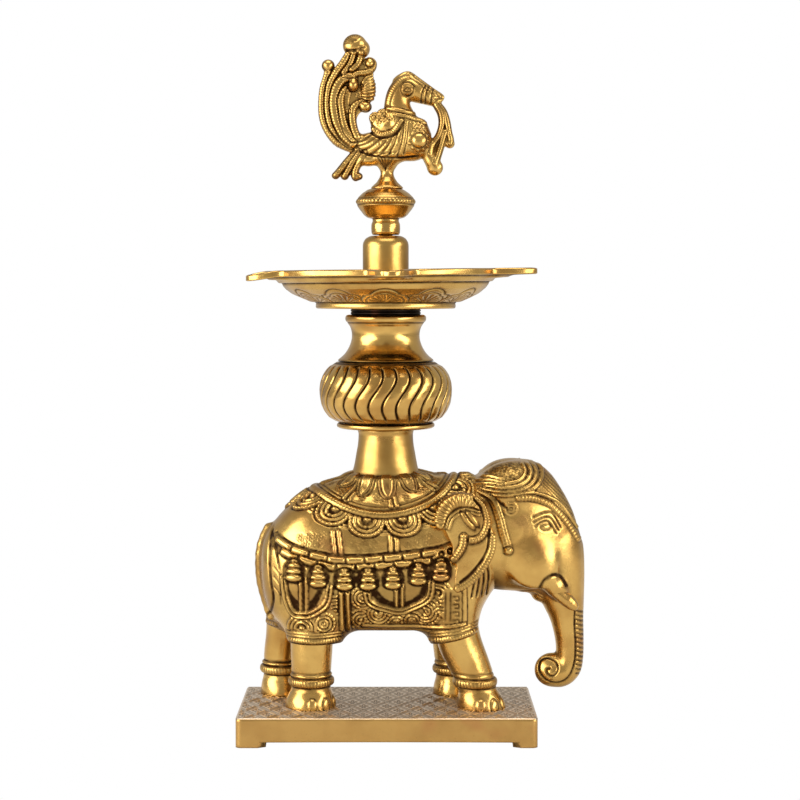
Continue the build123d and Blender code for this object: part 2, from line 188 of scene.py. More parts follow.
def turned(profile, columns, step=0.5, sigma=0.25, relief=None):
    """Points, faces and patina of a turning. profile runs from the axis or a hole up and round.

    relief(angle, r, z) gives the height over the surface and the patina at each point.
    """
    line = soften(profile, step, sigma)
    slope = np.gradient(line, axis=0)
    slope /= np.maximum(np.linalg.norm(slope, axis=1, keepdims=True), 1e-9)
    A = np.repeat(TAU * np.arange(columns)[None] / columns, len(line), 0)
    R, Z = np.repeat(line[:, :1], columns, 1), np.repeat(line[:, 1:], columns, 1)
    height, patina = relief(A, R, Z) if relief else (np.zeros_like(A), np.zeros_like(A))
    R = R + height * slope[:, 1:]
    Z = Z - height * slope[:, :1]
    points = np.stack([R * np.cos(A), R * np.sin(A), Z], -1).reshape(-1, 3)
    faces = [ring_faces(len(line), columns)]
    patina = np.broadcast_to(patina, A.shape).ravel()
    if line[0, 0] < 1e-6 and line[-1, 0] < 1e-6:
        faces = [faces[0][columns:-columns] - columns]
        first, last = points[0], points[-1]
        points, patina = points[columns:-columns], patina[columns:-columns]
        n, k = len(points), np.arange(columns)
        points, patina = np.vstack([points, first, last]), np.concatenate([patina, [0, 0]])
        turn = (k + 1) % columns
        faces.append(np.stack([np.full(columns, n), turn, k], 1))
        faces.append(np.stack([np.full(columns, n + 1), n - columns + k, n - columns + turn], 1))
    else:
        n = len(line)
        k = np.arange(columns)
        turn, base = (k + 1) % columns, (n - 1) * columns
        faces.append(np.stack([base + k, base + turn, turn, k], 1))
    return points, outward(points, faces), patina


# ---------------------------------------------------------------- clay: soft solids on a grid

class Clay:
    """Signed distances on a grid, in millimetres: negative inside. Shapes are joined or cut softly."""

    def __init__(self, low, high, step):
        self.low, self.step = np.array(low, float), step
        count = np.ceil((np.array(high) - self.low) / step).astype(int) + 1
        self.axes = [self.low[i] + step * np.arange(count[i]) for i in range(3)]
        self.d = np.full(count, 6.0, np.float32)

    def window(self, low, high):
        """The part of the grid between low and high, and its coordinates."""
        cut = [slice(np.searchsorted(axis, a), np.searchsorted(axis, b)) for axis, a,
               b in zip(self.axes, low, high)]
        x, y, z = (axis[c] for axis, c in zip(self.axes, cut))
        return tuple(cut), x[:, None, None], y[None, :, None], z[None, None, :]

    def add(self, shape, low, high, soft=0.5, cut=False):
        """Joins shape(x, y, z), which lies between low and high, or cuts it away."""
        reach = soft + 4 * self.step
        window, x, y, z = self.window(np.array(low) - reach, np.array(high) + reach)
        old = self.d[window]
        if not old.size:
            return
        new = shape(x, y, z)
        if cut:
            blend = np.maximum(soft - np.abs(old + new), 0) / soft
            self.d[window] = np.maximum(old, -new) + blend**2 * soft / 4
        else:
            blend = np.maximum(soft - np.abs(old - new), 0) / soft
            self.d[window] = np.minimum(old, new) - blend**2 * soft / 4

    def egg(self, centre, radii, soft=0.5, cut=False, lean=0.0):
        """An ellipsoid; lean tips it in the XZ plane, in degrees."""
        c, r = np.array(centre, float), np.array(radii, float)
        co, si = math.cos(math.radians(lean)), math.sin(math.radians(lean))

        def shape(x, y, z):
            u, v = x - c[0], z - c[2]
            a, b = (u * co + v * si) / r[0], (v * co - u * si) / r[2]
            e = (y - c[1]) / r[1]
            q = np.sqrt(a**2 + e**2 + b**2)
            pull = np.sqrt((a / r[0]) ** 2 + (e / r[1]) ** 2 + (b / r[2]) ** 2)
            return q * (q - 1) / np.maximum(pull, 1e-6)

        reach = r if lean == 0 else np.array([r[[0, 2]].max(), r[1], r[[0, 2]].max()])
        self.add(shape, c - reach, c + reach, soft, cut)

    def limb(self, stations, soft=0.5, flat=1.0, cut=False, pieces=10):
        """A round bar through (x, y, z, radius) stations; flat squeezes it in Y."""
        line = curve(stations, pieces + 1)
        for a, b in zip(line[:-1], line[1:]):
            self.add(bar(a, b, flat), np.minimum(a[:3], b[:3]) - max(a[3], b[3]),
                     np.maximum(a[:3], b[:3]) + max(a[3], b[3]), soft, cut)

    def mesh(self, easing=2):
        """Points and faces of the surface, pulled onto the exact distance and eased a number of times."""
        grid = openvdb.FloatGrid(6.0)
        grid.copyFromArray(self.d)
        points, triangles, quads = grid.convertToPolygons(0.0, 0.0)
        points = points.astype(float) * self.step + self.low
        faces = [f.astype(np.int64) for f in (triangles, quads) if len(f)]
        faces = outward(points, faces)
        edges = edges_of(faces)
        for _ in range(3):
            points = spread(points, edges, 1)
            normals = normals_of(points, faces)
            for _ in range(2):
                ahead, behind = self.sample(points + 0.15 * normals), self.sample(points - 0.15 * normals)
                slope = np.maximum((ahead - behind) / 0.3, 0.4)
                points = points - normals * np.clip((ahead + behind) / 2 / slope, -0.3, 0.3)[:, None]
        return spread(points, edges, easing), faces

    def sample(self, points):
        """Distances at points, read between the grid's values."""
        g = (points - self.low) / self.step
        top = np.array(self.d.shape) - 2
        i = np.clip(np.floor(g).astype(int), 0, top)
        f = g - i
        total = np.zeros(len(points))
        for dx in (0, 1):
            for dy in (0, 1):
                for dz in (0, 1):
                    share = np.abs(1 - dx - f[:, 0]) * np.abs(1 - dy - f[:, 1]) * np.abs(1 - dz - f[:, 2])
                    total += share * self.d[i[:, 0] + dx, i[:, 1] + dy, i[:, 2] + dz]
        return total


def bar(a, b, flat):
    """A bar between two (x, y, z, radius) ends."""
    d = b[:3] - a[:3]
    span = max((d**2).sum(), 1e-9)

    def shape(x, y, z):
        t = np.clip(((x - a[0]) * d[0] + (y - a[1]) * d[1] + (z - a[2]) * d[2]) / span, 0, 1)
        r = a[3] + (b[3] - a[3]) * t
        q = (x - a[0] - t * d[0]) ** 2 + ((y - a[1] - t * d[1]) / flat) ** 2 + (z - a[2] - t * d[2]) ** 2
        return np.sqrt(q) - r

    return shape


# ---------------------------------------------------------------- relief: ornament drawn on a surface

def smooth(x):
    """A soft step from 0 to 1."""
    x = np.clip(x, 0, 1)
    return x * x * (3 - 2 * x)


def ridge(x, width):
    """A bell curve across a line: 1 on it, fading over width."""
    return np.exp(-((x / width) ** 2))


class Relief:
    """Heights and patina over points with flat drawing coordinates u, v, in millimetres."""

    def __init__(self, u, v):
        self.u, self.v = u.ravel(), v.ravel()
        self.h = np.zeros(self.u.size)
        self.dark = np.zeros(self.u.size)

    def near(self, u0, v0, u1, v1):
        """The numbers of the points in a rectangle."""
        return np.nonzero((self.u > u0) & (self.u < u1) & (self.v > v0) & (self.v < v1))[0]

    def path(self, points, reach, count=40):
        """The points within reach of a path: their index, distance across, and distance along."""
        line = curve(points, count) if len(points) > 2 else np.array(points, float)
        low, high = line.min(0) - reach, line.max(0) + reach
        i = self.near(low[0], low[1], high[0], high[1])
        u, v = self.u[i], self.v[i]
        best, across, along = np.full(len(i), 1e9), np.zeros(len(i)), np.zeros(len(i))
        run = 0.0
        for (ax, ay), (bx, by) in zip(line[:-1], line[1:]):
            dx, dy = bx - ax, by - ay
            span = math.hypot(dx, dy)
            if span < 1e-9:
                continue
            t = np.clip(((u - ax) * dx + (v - ay) * dy) / span**2, 0, 1)
            ex, ey = u - ax - t * dx, v - ay - t * dy
            q = np.hypot(ex, ey)
            closer = q < best
            best = np.where(closer, q, best)
            across = np.where(closer, np.sign(dx * ey - dy * ex) * q, across)
            along = np.where(closer, run + t * span, along)
            run += span
        keep = best < reach
        return i[keep], across[keep], along[keep]

    def cord(self, points, width, height, base=0.0, pitch=0.0, slant=0.5, rim=0.5, count=40):
        """A raised cord, twisted or ribbed at pitch, with a dark cut along both sides."""
        i, across, along = self.path(points, width / 2 + rim, count)
        q = np.abs(across) / (width / 2)
        crown = np.sqrt(np.clip(1 - q**2, 0, 1))
        if pitch:
            wave = 0.5 + 0.5 * np.cos(TAU * (along / pitch + slant * across / width))
            crown = crown * (0.62 + 0.38 * wave)
            self.dark[i] = np.where(q < 1, 0.55 * (1 - wave) ** 2, self.dark[i])
        else:
            self.dark[i] = np.where(q < 1, 0.0, self.dark[i])
        self.h[i] = np.where(q < 1, base + height * crown, np.minimum(self.h[i], base - 0.15))
        self.dark[i] = np.where(q >= 1, np.maximum(self.dark[i], 0.9), self.dark[i])

    def line(self, points, width, depth, dark=0.85, count=40):
        """A cut line."""
        i, across, _ = self.path(points, width, count)
        w = np.clip(1 - (np.abs(across) / width) ** 2, 0, 1)
        self.h[i] -= depth * w
        self.dark[i] = np.maximum(self.dark[i], dark * smooth(1.6 * w))

    def dome(self, u, v, ru, rv, height, base=0.0, lean=0.0, rim=0.5, flat=0.5):
        """A raised oval boss with a dark cut round it."""
        reach = max(ru, rv) + rim
        i = self.near(u - reach, v - reach, u + reach, v + reach)
        co, si = math.cos(math.radians(lean)), math.sin(math.radians(lean))
        a, b = self.u[i] - u, self.v[i] - v
        q = np.hypot((a * co + b * si) / ru, (b * co - a * si) / rv)
        edge = (q - 1) * min(ru, rv)
        self.h[i] = np.where(q < 1, base + height * np.clip(1 - q**2, 0, 1) ** flat, self.h[i])
        ring = (q >= 1) & (edge < rim)
        self.h[i] = np.where(ring, np.minimum(self.h[i], base - 0.1), self.h[i])
        self.dark[i] = np.where(q < 0.85, 0.0, np.where(ring, 0.9, self.dark[i]))

    def arcs(self, u, v, radii, start, end, width, height, base=0.0, pitch=0.0, core=0.0):
        """Concentric raised arcs round (u, v) between two angles in degrees, with an optional core."""
        reach = max(radii) + width
        i = self.near(u - reach, v - reach, u + reach, v + reach)
        a, b = self.u[i] - u, self.v[i] - v
        r, angle = np.hypot(a, b), np.degrees(np.arctan2(b, a))
        inside = ((angle - start) % 360 <= (end - start) % 360.0001) & (r < max(radii) + width / 2)
        i, r, angle = i[inside], r[inside], angle[inside]
        self.h[i], self.dark[i] = base - 0.25, 0.9
        for k, radius in enumerate(radii):
            q = np.abs(r - radius) / (width / 2)
            on = q < 1
            crown = np.sqrt(np.clip(1 - q**2, 0, 1))
            if pitch and k == 0:
                crown = crown * (0.65 + 0.35 * np.cos(TAU * np.radians(angle) * radius / pitch))
            self.h[i] = np.where(on, base + height * crown, self.h[i])
            self.dark[i] = np.where(on, 0.0, self.dark[i])
        if core:
            on = r < core
            self.h[i] = np.where(on, base + height * 1.2 * np.sqrt(np.clip(1 - (r / core) ** 2, 0, 1)),
                                 self.h[i])
            self.dark[i] = np.where(on, 0.0, self.dark[i])

    def stamp(self, u, v, size, height=0.3):
        """A punched flower: a ring of small dots round a middle one."""
        self.dot(u, v, 0.22 * size, height)
        for k in range(6):
            angle = TAU * k / 6 + 0.3
            self.dot(u + 0.62 * size * math.cos(angle), v + 0.62 * size * math.sin(angle), 0.2 * size,
                     height)

    def dot(self, u, v, r, height):
        """A small raised dot in a shallow dark ring."""
        reach = 1.8 * r
        i = self.near(u - reach, v - reach, u + reach, v + reach)
        q = np.hypot(self.u[i] - u, self.v[i] - v) / r
        self.h[i] += np.where(q < 1, height * (1 - q**2), np.where(q < 1.8, -0.5 * height, 0))
        self.dark[i] = np.where((q >= 0.9) & (q < 1.7), np.maximum(self.dark[i], 0.6), self.dark[i])


# ---------------------------------------------------------------- materials

def empty_tree(owner):
    """Clears the node tree of a material or world; returns the functions that add and link nodes."""
    owner.use_nodes = True
    tree = owner.node_tree
    tree.nodes.clear()
    return tree.nodes.new, tree.links.new


def brass(name, gold=(0.60, 0.370, 0.105), tone=(0.44, 0.240, 0.062), dark=(0.030, 0.012, 0.004),
          rough=0.22, grain=0.35, stain=1.0, rings=0.0, dust_and_top_light=0.0):
    """Polished brass: brown patina in its cuts, faint tarnish, a fine cast grain, and a paler colour on
    upward-facing tops that is partly dust and partly painted light from above.
    """
    material = bpy.data.materials.new(name)
    add, link = empty_tree(material)
    out, shader = add("ShaderNodeOutputMaterial"), add("ShaderNodeBsdfPrincipled")
    link(shader.outputs["BSDF"], out.inputs["Surface"])
    shader.inputs["Metallic"].default_value = 1.0
    coordinates = add("ShaderNodeTexCoord")
    where = coordinates.outputs["Object"]

    def noise(scale, detail=3.0, rough=0.55):
        node = add("ShaderNodeTexNoise")
        node.inputs["Scale"].default_value = scale
        node.inputs["Detail"].default_value = detail
        node.inputs["Roughness"].default_value = rough
        link(where, node.inputs["Vector"])
        return node.outputs["Fac"]

    def between(value, low, high, to_low=0.0, to_high=1.0):
        node = add("ShaderNodeMapRange")
        node.inputs["From Min"].default_value, node.inputs["From Max"].default_value = low, high
        node.inputs["To Min"].default_value, node.inputs["To Max"].default_value = to_low, to_high
        link(value, node.inputs["Value"])
        return node.outputs["Result"]

    def mixed(factor, a, b):
        node = add("ShaderNodeMix")
        node.data_type = "RGBA"
        link(factor, node.inputs["Factor"])
        for socket, value in ((node.inputs["A"], a), (node.inputs["B"], b)):
            if isinstance(value, tuple):
                socket.default_value = (*value, 1.0)
            else:
                link(value, socket)
        return node.outputs["Result"]

    def maths(kind, a, b):
        node = add("ShaderNodeMath")
        node.operation = kind
        node.use_clamp = kind == "ADD"
        for socket, value in zip(node.inputs, (a, b)):
            if isinstance(value, float):
                socket.default_value = value
            else:
                link(value, socket)
        return node.outputs["Value"]

    # The patina attribute darkens towards the patina colour; on the elephant's body and head it also carries
    # painted shade.
    patina = add("ShaderNodeAttribute")
    patina.attribute_name = "patina"
    cut = patina.outputs["Fac"]
    clouds = between(noise(55), 0.40, 0.68)
    metal = mixed(clouds, gold, tone)
    red = maths("MULTIPLY", between(noise(38, 2.0), 0.60, 0.72), 0.35 * stain)
    metal = mixed(red, metal, (0.42, 0.13, 0.06))
    if dust_and_top_light:
        # Paler colour where the surface faces up: partly dust, partly painted light from above.
        facing = add("ShaderNodeSeparateXYZ")
        link(coordinates.outputs["Normal"], facing.inputs["Vector"])
        metal = mixed(between(facing.outputs["Z"], 0.55, 0.85, 0.0, dust_and_top_light), metal, (0.86, 0.72, 0.56))
    specks = maths("MULTIPLY", between(noise(900, 4.0, 0.7), 0.62, 0.75), 0.30 * stain)
    ragged = maths("MULTIPLY", cut, between(noise(260, 3.0), 0.30, 0.62, 0.80, 1.20))
    shade = maths("ADD", ragged, specks)
    link(mixed(shade, metal, dark), shader.inputs["Base Color"])
    polish = between(noise(120, 4.0), 0.30, 0.70, rough - 0.05, rough + 0.07)
    link(maths("ADD", polish, maths("MULTIPLY", cut, 0.35)), shader.inputs["Roughness"])
    bump = add("ShaderNodeBump")
    bump.inputs["Strength"].default_value = grain
    bump.inputs["Distance"].default_value = 0.00025
    height = maths("ADD", maths("MULTIPLY", noise(420, 4.0, 0.6), 0.55),
                   maths("MULTIPLY", noise(90, 2.0), 0.45))
    if rings:
        wave = add("ShaderNodeTexWave")
        wave.wave_type, wave.bands_direction = "BANDS", "Z"
        wave.inputs["Scale"].default_value = 900
        wave.inputs["Distortion"].default_value = 0.6
        link(where, wave.inputs["Vector"])
        height = maths("ADD", height, maths("MULTIPLY", wave.outputs["Fac"], rings))
    link(height, bump.inputs["Height"])
    link(bump.outputs["Normal"], shader.inputs["Normal"])
    return material


# The plinth's top is painted paler where it faces up: partly dust, partly painted light from above.
PLINTH = brass("plinth_brass", gold=(0.52, 0.310, 0.095), tone=(0.44, 0.250, 0.075), rough=0.34, grain=0.6,
               dust_and_top_light=0.9)
BODY = brass("elephant_brass", rough=0.23, grain=0.55)
TURNED = brass("turned_brass", rough=0.20, grain=0.10, stain=0.3, rings=0.06)
# A darker copy of the turned brass for the collar and post: satin roughness, with its colour darkened as
# painted shade to dim their highlights.
SATIN_SHADED = brass("satin_brass_shaded", gold=(0.47, 0.285, 0.078), tone=(0.36, 0.200, 0.050), rough=0.31, grain=0.12,
              stain=0.3, rings=0.06)
DISH = brass("dish_brass", rough=0.24, grain=0.30, stain=0.6)
BIRD = brass("bird_brass", rough=0.24, grain=0.5, stain=0.7)
# Near-black on all three studs: partly dark patina on the threads, partly painted shade of the gap between
# dish and pot.
THREAD = brass("blackened_thread", gold=(0.030, 0.022, 0.016), tone=(0.018, 0.012, 0.009), rough=0.45)
SCREW = brass("screw_brass", rough=0.30, grain=0.2)


# ---------------------------------------------------------------- turned parts of the stem

FLUTES = 29
BELLY_LOW, BELLY_TALL = 160.6, 30.8
FLUTE_SWAY, FLUTE_TURNS = 0.11, 0.93
FLUTE_SWELL, FLUTE_CUT, FLUTE_CUT_WIDE = 0.42, 0.75, 0.62


def flutes(a, r, z):
    """S-shaped flutes round the pot's belly, running out at its two ends."""
    t = np.clip((z - BELLY_LOW) / BELLY_TALL, 0, 1)
    sway = a + FLUTE_SWAY * np.sin(TAU * FLUTE_TURNS * t) - 0.02 * t
    lobe = (sway * FLUTES / TAU) % 1.0
    apart = np.minimum(lobe, 1 - lobe) * r * TAU / FLUTES
    ends = smooth((z - 161.2) / 2.2) * smooth((190.6 - z) / 1.6) * (r > 26)
    groove = ridge(apart, FLUTE_CUT_WIDE) * ends
    swell = FLUTE_SWELL * np.sqrt(np.clip(4 * lobe * (1 - lobe), 0, 1)) * ends
    seam = ridge(z - 160.7, 0.5) + ridge(z - 191.3, 0.5)
    return swell - FLUTE_CUT * groove - 0.3, smooth(1.3 * groove) + 0.9 * seam * (r > 22)


def pot_parts():
    """The fluted pot: foot disc, belly with S-shaped flutes, and neck cup."""
    p, f, s = turned([(0, 157.4), (24.0, 157.4), (25.3, 158.1), (25.4, 159.3), (24.7, 160.2), (0, 160.2)],
                     180)
    place("pot_foot_disc", p, f, s, "pot", "turned_brass", TURNED, ["pot_foot"])

    profile = [(21.0, 161.4), (21.4, 160.4), (24.2, 160.4), (26.6, 161.0), (29.7, 163.4), (31.9, 166.4),
               (33.4, 169.8), (34.2, 174.0), (34.3, 177.5), (33.9, 181.2), (32.7, 184.8), (30.9, 187.6),
               (28.6, 189.9), (26.2, 191.5), (25.2, 192.1), (21.4, 192.1), (21.0, 191.4)]
    p, f, s = turned(profile, 840, step=0.5, sigma=0.5, relief=flutes)
    place("pot_belly_fluted", p, f, s, "pot", "turned_brass", TURNED, ["pot_belly"])

    def seams(_, r, z):
        line = ridge(z - 211.9, 0.35) + ridge(z - 192.3, 0.5)
        return -0.3 * line * (r > 17), np.clip(line * (r > 17), 0, 1)

    profile = [(0, 192.1), (25.5, 192.1), (24.9, 192.7), (22.9, 194.2), (21.1, 196.0), (19.6, 198.2),
               (18.4, 200.8), (17.7, 203.2), (17.5, 205.4), (17.7, 207.6), (18.3, 209.6), (19.1, 211.0),
               (20.1, 211.9), (20.8, 213.0), (21.1, 214.2), (20.8, 215.6), (19.8, 216.1), (0, 216.1)]
    p, f, s = turned(profile, 220, sigma=0.6, relief=seams)
    place("pot_neck_cup", p, f, s, "pot", "turned_brass", TURNED, ["pot_neck"])


def collar():
    """The turned post on the elephant's back, with dark seams where it is brazed."""
    def seams(_, r, z):
        low = ridge(z - 133.6, 1.1)
        top = ridge(z - 157.0, 0.5) * (r > 13)
        return -0.2 * low, np.clip(low + top, 0, 1)

    profile = [(0, 128), (18.0, 128), (18.0, 133.4), (17.2, 135.0), (16.4, 137.8), (15.8, 141.0),
               (15.2, 144.6), (14.5, 148.4), (14.2, 151.5), (14.1, 154.4), (14.6, 156.2), (14.6, 156.9),
               (0, 156.9)]
    p, f, s = turned(profile, 200, sigma=0.4, relief=seams)
    place("back_collar_turned", p, f, s, "base", "turned_brass", SATIN_SHADED, ["back_collar"])


KNOB_BEADS = 44


def bead_row(a, r, z):
    """The knob's beaded waist between two cut lines, and the seam over its foot bead."""
    row = ridge(z - 274.6, 0.9) * (r > 13.5)
    beads = np.abs(np.cos(a * KNOB_BEADS / 2))
    seam = ridge(z - 276.2, 0.35) + ridge(z - 272.9, 0.35)
    foot = ridge(z - 265.4, 0.4)
    height = 0.35 * row * beads - 0.25 * seam - 0.3 * foot
    return height, np.clip(0.8 * seam + 0.7 * foot + row * (1 - beads) ** 2, 0, 1)


def post_and_knob():
    """The dish's post and the finial's turned knob with its beaded waist."""
    profile = [(0, 224.5), (11.9, 224.5), (11.9, 252.0), (11.6, 253.6), (10.6, 255.3), (9.0, 256.4),
               (7.5, 256.9), (0, 256.9)]
    p, f, s = turned(profile, 180, sigma=0.4)
    place("dish_post_turned", p, f, s, "dish", "turned_brass", SATIN_SHADED, ["dish_post"])

    profile = [(0, 257.4), (6.9, 257.4), (7.4, 258.6), (7.5, 260.8), (7.4, 263.0), (6.7, 264.6),
               (7.2, 265.6), (9.7, 266.4), (11.2, 267.6), (13.4, 270.4), (14.9, 272.6), (15.2, 274.4),
               (14.9, 276.1), (12.2, 278.8), (9.6, 280.6), (8.3, 281.1), (0, 281.1)]
    p, f, s = turned(profile, 396, step=0.35, sigma=0.25, relief=bead_row)
    place("finial_knob_beaded", p, f, s, "finial", "turned_brass", TURNED, ["finial_knob"])


SPOUTS = [math.radians(-87 + 72 * k) for k in range(5)]
DROOP = (0.5, 0.0, 0.5, 0.5, 2.0)  # how far each spout's tip hangs
LONGER = (0.0, 4.0, 0.0, 0.0, -0.8)  # how much each spout is longer than the usual
DISH_COLUMNS = 680
RIM_R, SPOUT_REACH = 60.6, 15.4
TIP_CENTRE_R, TIP_R = 69.6, 6.2
CHANNEL_HALF, CHANNEL_DEPTH = 5.0, 2.6


def lotus(a, r, z):
    """Lobed lotus petals cut round the dish's bowl, six in front and six behind, with fanned veins."""
    bowl = smooth((r - 37.5) / 1.0) * smooth((z - 219.5) / 1.0) * smooth((234.2 - z) / 0.8) * (z < 234.4)
    rise = np.clip((r - 37.8) * 1.12, 0, 30)
    lines, covered = np.zeros_like(a), np.zeros(a.shape, bool)
    for turn in (0.0, 0.5):
        sector = ((a + math.pi / 2) * 6 / TAU + turn + 0.5) % 1.0 - 0.5
        side = sector * TAU / 6 * 46.0
        reach, lean = np.hypot(side, rise), np.arctan2(side, rise + 1e-6)
        size = 15.2 * (0.84 + 0.16 * np.abs(np.cos(2.6 * lean))) * np.where(np.abs(lean) > 0.9, 0.93, 1.0)
        cuts = ridge(reach - size, 0.42)
        cuts = np.maximum(cuts, 0.8 * ridge(reach - 0.80 * size, 0.36))
        fan = 0.5 + 0.5 * np.cos(lean * 17)
        cuts = np.maximum(cuts, 0.65 * fan**2 * smooth((0.74 * size - reach) / 1.5))
        lines = np.where(covered, lines, np.maximum(lines, cuts * (reach < size + 1.2)))
        covered = covered | (reach < size + 0.4)
    bands = sum(ridge(z - level, 0.42) for level in (222.0, 231.9, 235.0)) * (z < 235.6) * (r > 34)
    cutting = bowl * lines * (z < 234)
    return -0.6 * cutting - 0.6 * bands, np.clip(0.95 * cutting + bands, 0, 1)


def spouts(angle):
    """The lip's radius at each angle, the angle from the nearest spout, and its droop and extra length."""
    lip, side = np.full(DISH_COLUMNS, RIM_R), np.full(DISH_COLUMNS, 99.0)
    droop, longer = np.zeros(DISH_COLUMNS), np.zeros(DISH_COLUMNS)
    for k, spout in enumerate(SPOUTS):
        off = np.abs((angle - spout + math.pi) % TAU - math.pi)
        flank = 33.2 / (np.sin(off) + 0.367 * np.cos(off))
        tip = TIP_CENTRE_R * np.cos(off) + np.sqrt(np.clip(TIP_R**2 - (TIP_CENTRE_R * np.sin(off)) ** 2, 0,
                                                           None))
        reach = np.where(off < 0.087, np.minimum(tip, flank), flank)
        lip = np.maximum(lip, np.where((off < 0.6) & (flank > RIM_R), reach, RIM_R))
        side = np.minimum(side, off)
        droop += DROOP[k] * (off < 0.4)
        longer += LONGER[k] * (off < 0.4)
    lip = np.convolve(np.concatenate([lip[-4:], lip, lip[:4]]), np.ones(9) / 9, "valid")
    return lip, side, droop, longer


def dish():
    """The five-spouted oil dish: lotus cut round its bowl, plain rim above, oil channels on top."""
    columns = DISH_COLUMNS
    even = TAU * np.arange(columns) / columns
    angle = even - 0.105 * np.sin(5 * (even - SPOUTS[0]))
    lip, side, droop, longer = spouts(angle)
    out = lip - RIM_R
    across = side * 66

    profile = [(29.8, 220.4), (30.0, 219.3), (35.8, 219.3), (36.3, 220.2), (36.2, 221.7), (38.0, 222.4),
               (43.2, 224.6), (48.2, 226.8), (51.6, 229.2), (53.6, 231.6), (55.4, 232.6), (56.9, 234.2),
               (57.4, 234.8), (60.2, 234.9), (60.6, 235.4), (60.6, 238.4), (60.2, 238.8), (57.8, 238.9),
               (56.2, 238.0), (52.0, 234.8), (46.0, 230.6), (38.0, 227.6), (28.0, 226.5), (11.0, 226.4),
               (10.8, 226.0)]
    line = soften(profile, 0.5, 0.25)
    slope = np.gradient(line, axis=0)
    slope /= np.linalg.norm(slope, axis=1, keepdims=True) + 1e-9
    plain = (line[:, 0] < 44) & (line[:, 1] > 225.9) & (np.arange(len(line)) % 3 > 0)
    line, slope = line[~plain], slope[~plain]
    A = np.repeat(angle[None], len(line), 0)
    R, Z = np.repeat(line[:, :1], columns, 1), np.repeat(line[:, 1:], columns, 1)
    height, stain = lotus(A, R, Z)
    plate = np.clip((line[:, :1] - 54.5) / 6.1, 0, 1) * (line[:, 1:] > 234.0)
    R = R + height * slope[:, 1:] + plate * out * (1 + longer / SPOUT_REACH)
    Z = Z - height * slope[:, :1]
    top = (np.arange(len(line))[:, None] > np.argmax(line[:, 0] + (line[:, 1] > 238.3)
                                                     * 0.5)) * (line[:, :1] > 44)
    channel = smooth((CHANNEL_HALF - across) / 1.6) * smooth((R - 50) / 6) * smooth((74.0 - R) / 1.5) * top
    Z = Z - channel * np.clip(Z - 236.0, 0, CHANNEL_DEPTH)
    Z = Z - smooth((R - RIM_R) / SPOUT_REACH) * droop
    Z = Z + np.where(np.cos(A) > 0, 0.020, 0.004) * R * np.cos(A) * smooth((R - 40) / 20)
    points = np.stack([R * np.cos(A), R * np.sin(A), Z], -1).reshape(-1, 3)
    k = np.arange(columns)
    base = (len(line) - 1) * columns
    turn = (k + 1) % columns
    faces = [ring_faces(len(line), columns), np.stack([base + k, base + turn, turn, k], 1)]
    place("oil_dish_lotus", points, outward(points, faces), stain.ravel(), "dish", "dish_brass", DISH,
          ["oil_dish"])


# ---------------------------------------------------------------- plinth

CORNER_R = 3.0
LATTICE_LONG, LATTICE_DEEP = 12, 19
FOOT_BACK, FOOT_FRONT, FOOT_SIDE = 11.4, 8.4, 10.0


def rounded(U, V, half_x, half_y):
    """A rectangle's grid with its corners pulled in to a radius."""
    ex, ey = np.abs(U) - (half_x - CORNER_R), np.abs(V) - (half_y - CORNER_R)
    far = np.hypot(np.maximum(ex, 0), np.maximum(ey, 0))
    pull = np.where(far > CORNER_R, CORNER_R / np.maximum(far, 1e-6), 1.0)
    corner = (ex > 0) & (ey > 0)
    return (np.where(corner, np.sign(U) * (half_x - CORNER_R + ex * pull), U),
            np.where(corner, np.sign(V) * (half_y - CORNER_R + ey * pull), V))


def lattice(U, V):
    """Double cut lines along the diagonals, with a four-petalled flower in each diamond."""
    a, b = U / LATTICE_LONG + V / LATTICE_DEEP, U / LATTICE_LONG - V / LATTICE_DEEP
    near = np.minimum(np.abs(a - np.round(a)), np.abs(b - np.round(b)))
    fa, fb = a - np.floor(a) - 0.5, b - np.floor(b) - 0.5
    pu, pv = (fa + fb) * 6, (fa - fb) * 5.6
    pr, pa = np.hypot(pu, pv), np.arctan2(pv, pu)
    return ridge(near - 0.075, 0.042) + (ridge(pr - 1.7 - 0.5 * np.cos(4 * pa), 0.5) + ridge(pr, 0.6))


def skirt(ring, middle, half, top):
    """The rings of points from the top's edge down the sides, in under the feet, and up inside."""
    (cx, cy), (half_x, half_y) = middle, half
    shells = []
    inside = ring - [cx, cy, 0]
    shape_in = 1 - 4.0 / np.maximum(np.abs(inside[:, :2]).max(1), 1)[:, None]
    run_x = np.abs(inside[:, 0]) / half_x
    run_y = np.abs(inside[:, 1]) / half_y
    along_x = np.abs(inside[:, 1]) > half_y - 1.2
    corner_foot = np.where(inside[:, 0] > 0, FOOT_FRONT, FOOT_BACK)
    foot = np.where(along_x, half_x - np.abs(inside[:, 0]) < corner_foot,
                    half_y - np.abs(inside[:, 1]) < FOOT_SIDE)
    arch = np.where(foot, 0.0, 2.7 + 0.25 * np.cos(np.where(along_x, run_x, run_y) * math.pi / 2))
    for level in np.linspace(0, 1, 12)[1:]:
        z = (top - 0.6) * (1 - level) + arch * level
        shells.append(np.column_stack([ring[:, 0], ring[:, 1], z]))
    for step_in in (0.5, 1.0):
        xy = [cx, cy] + inside[:, :2] * (1 - (1 - shape_in) * step_in)
        shells.append(np.column_stack([xy, arch]))
    shells.append(np.column_stack([[cx, cy] + inside[:, :2] * shape_in, np.full(len(ring), top - 4.0)]))
    return shells


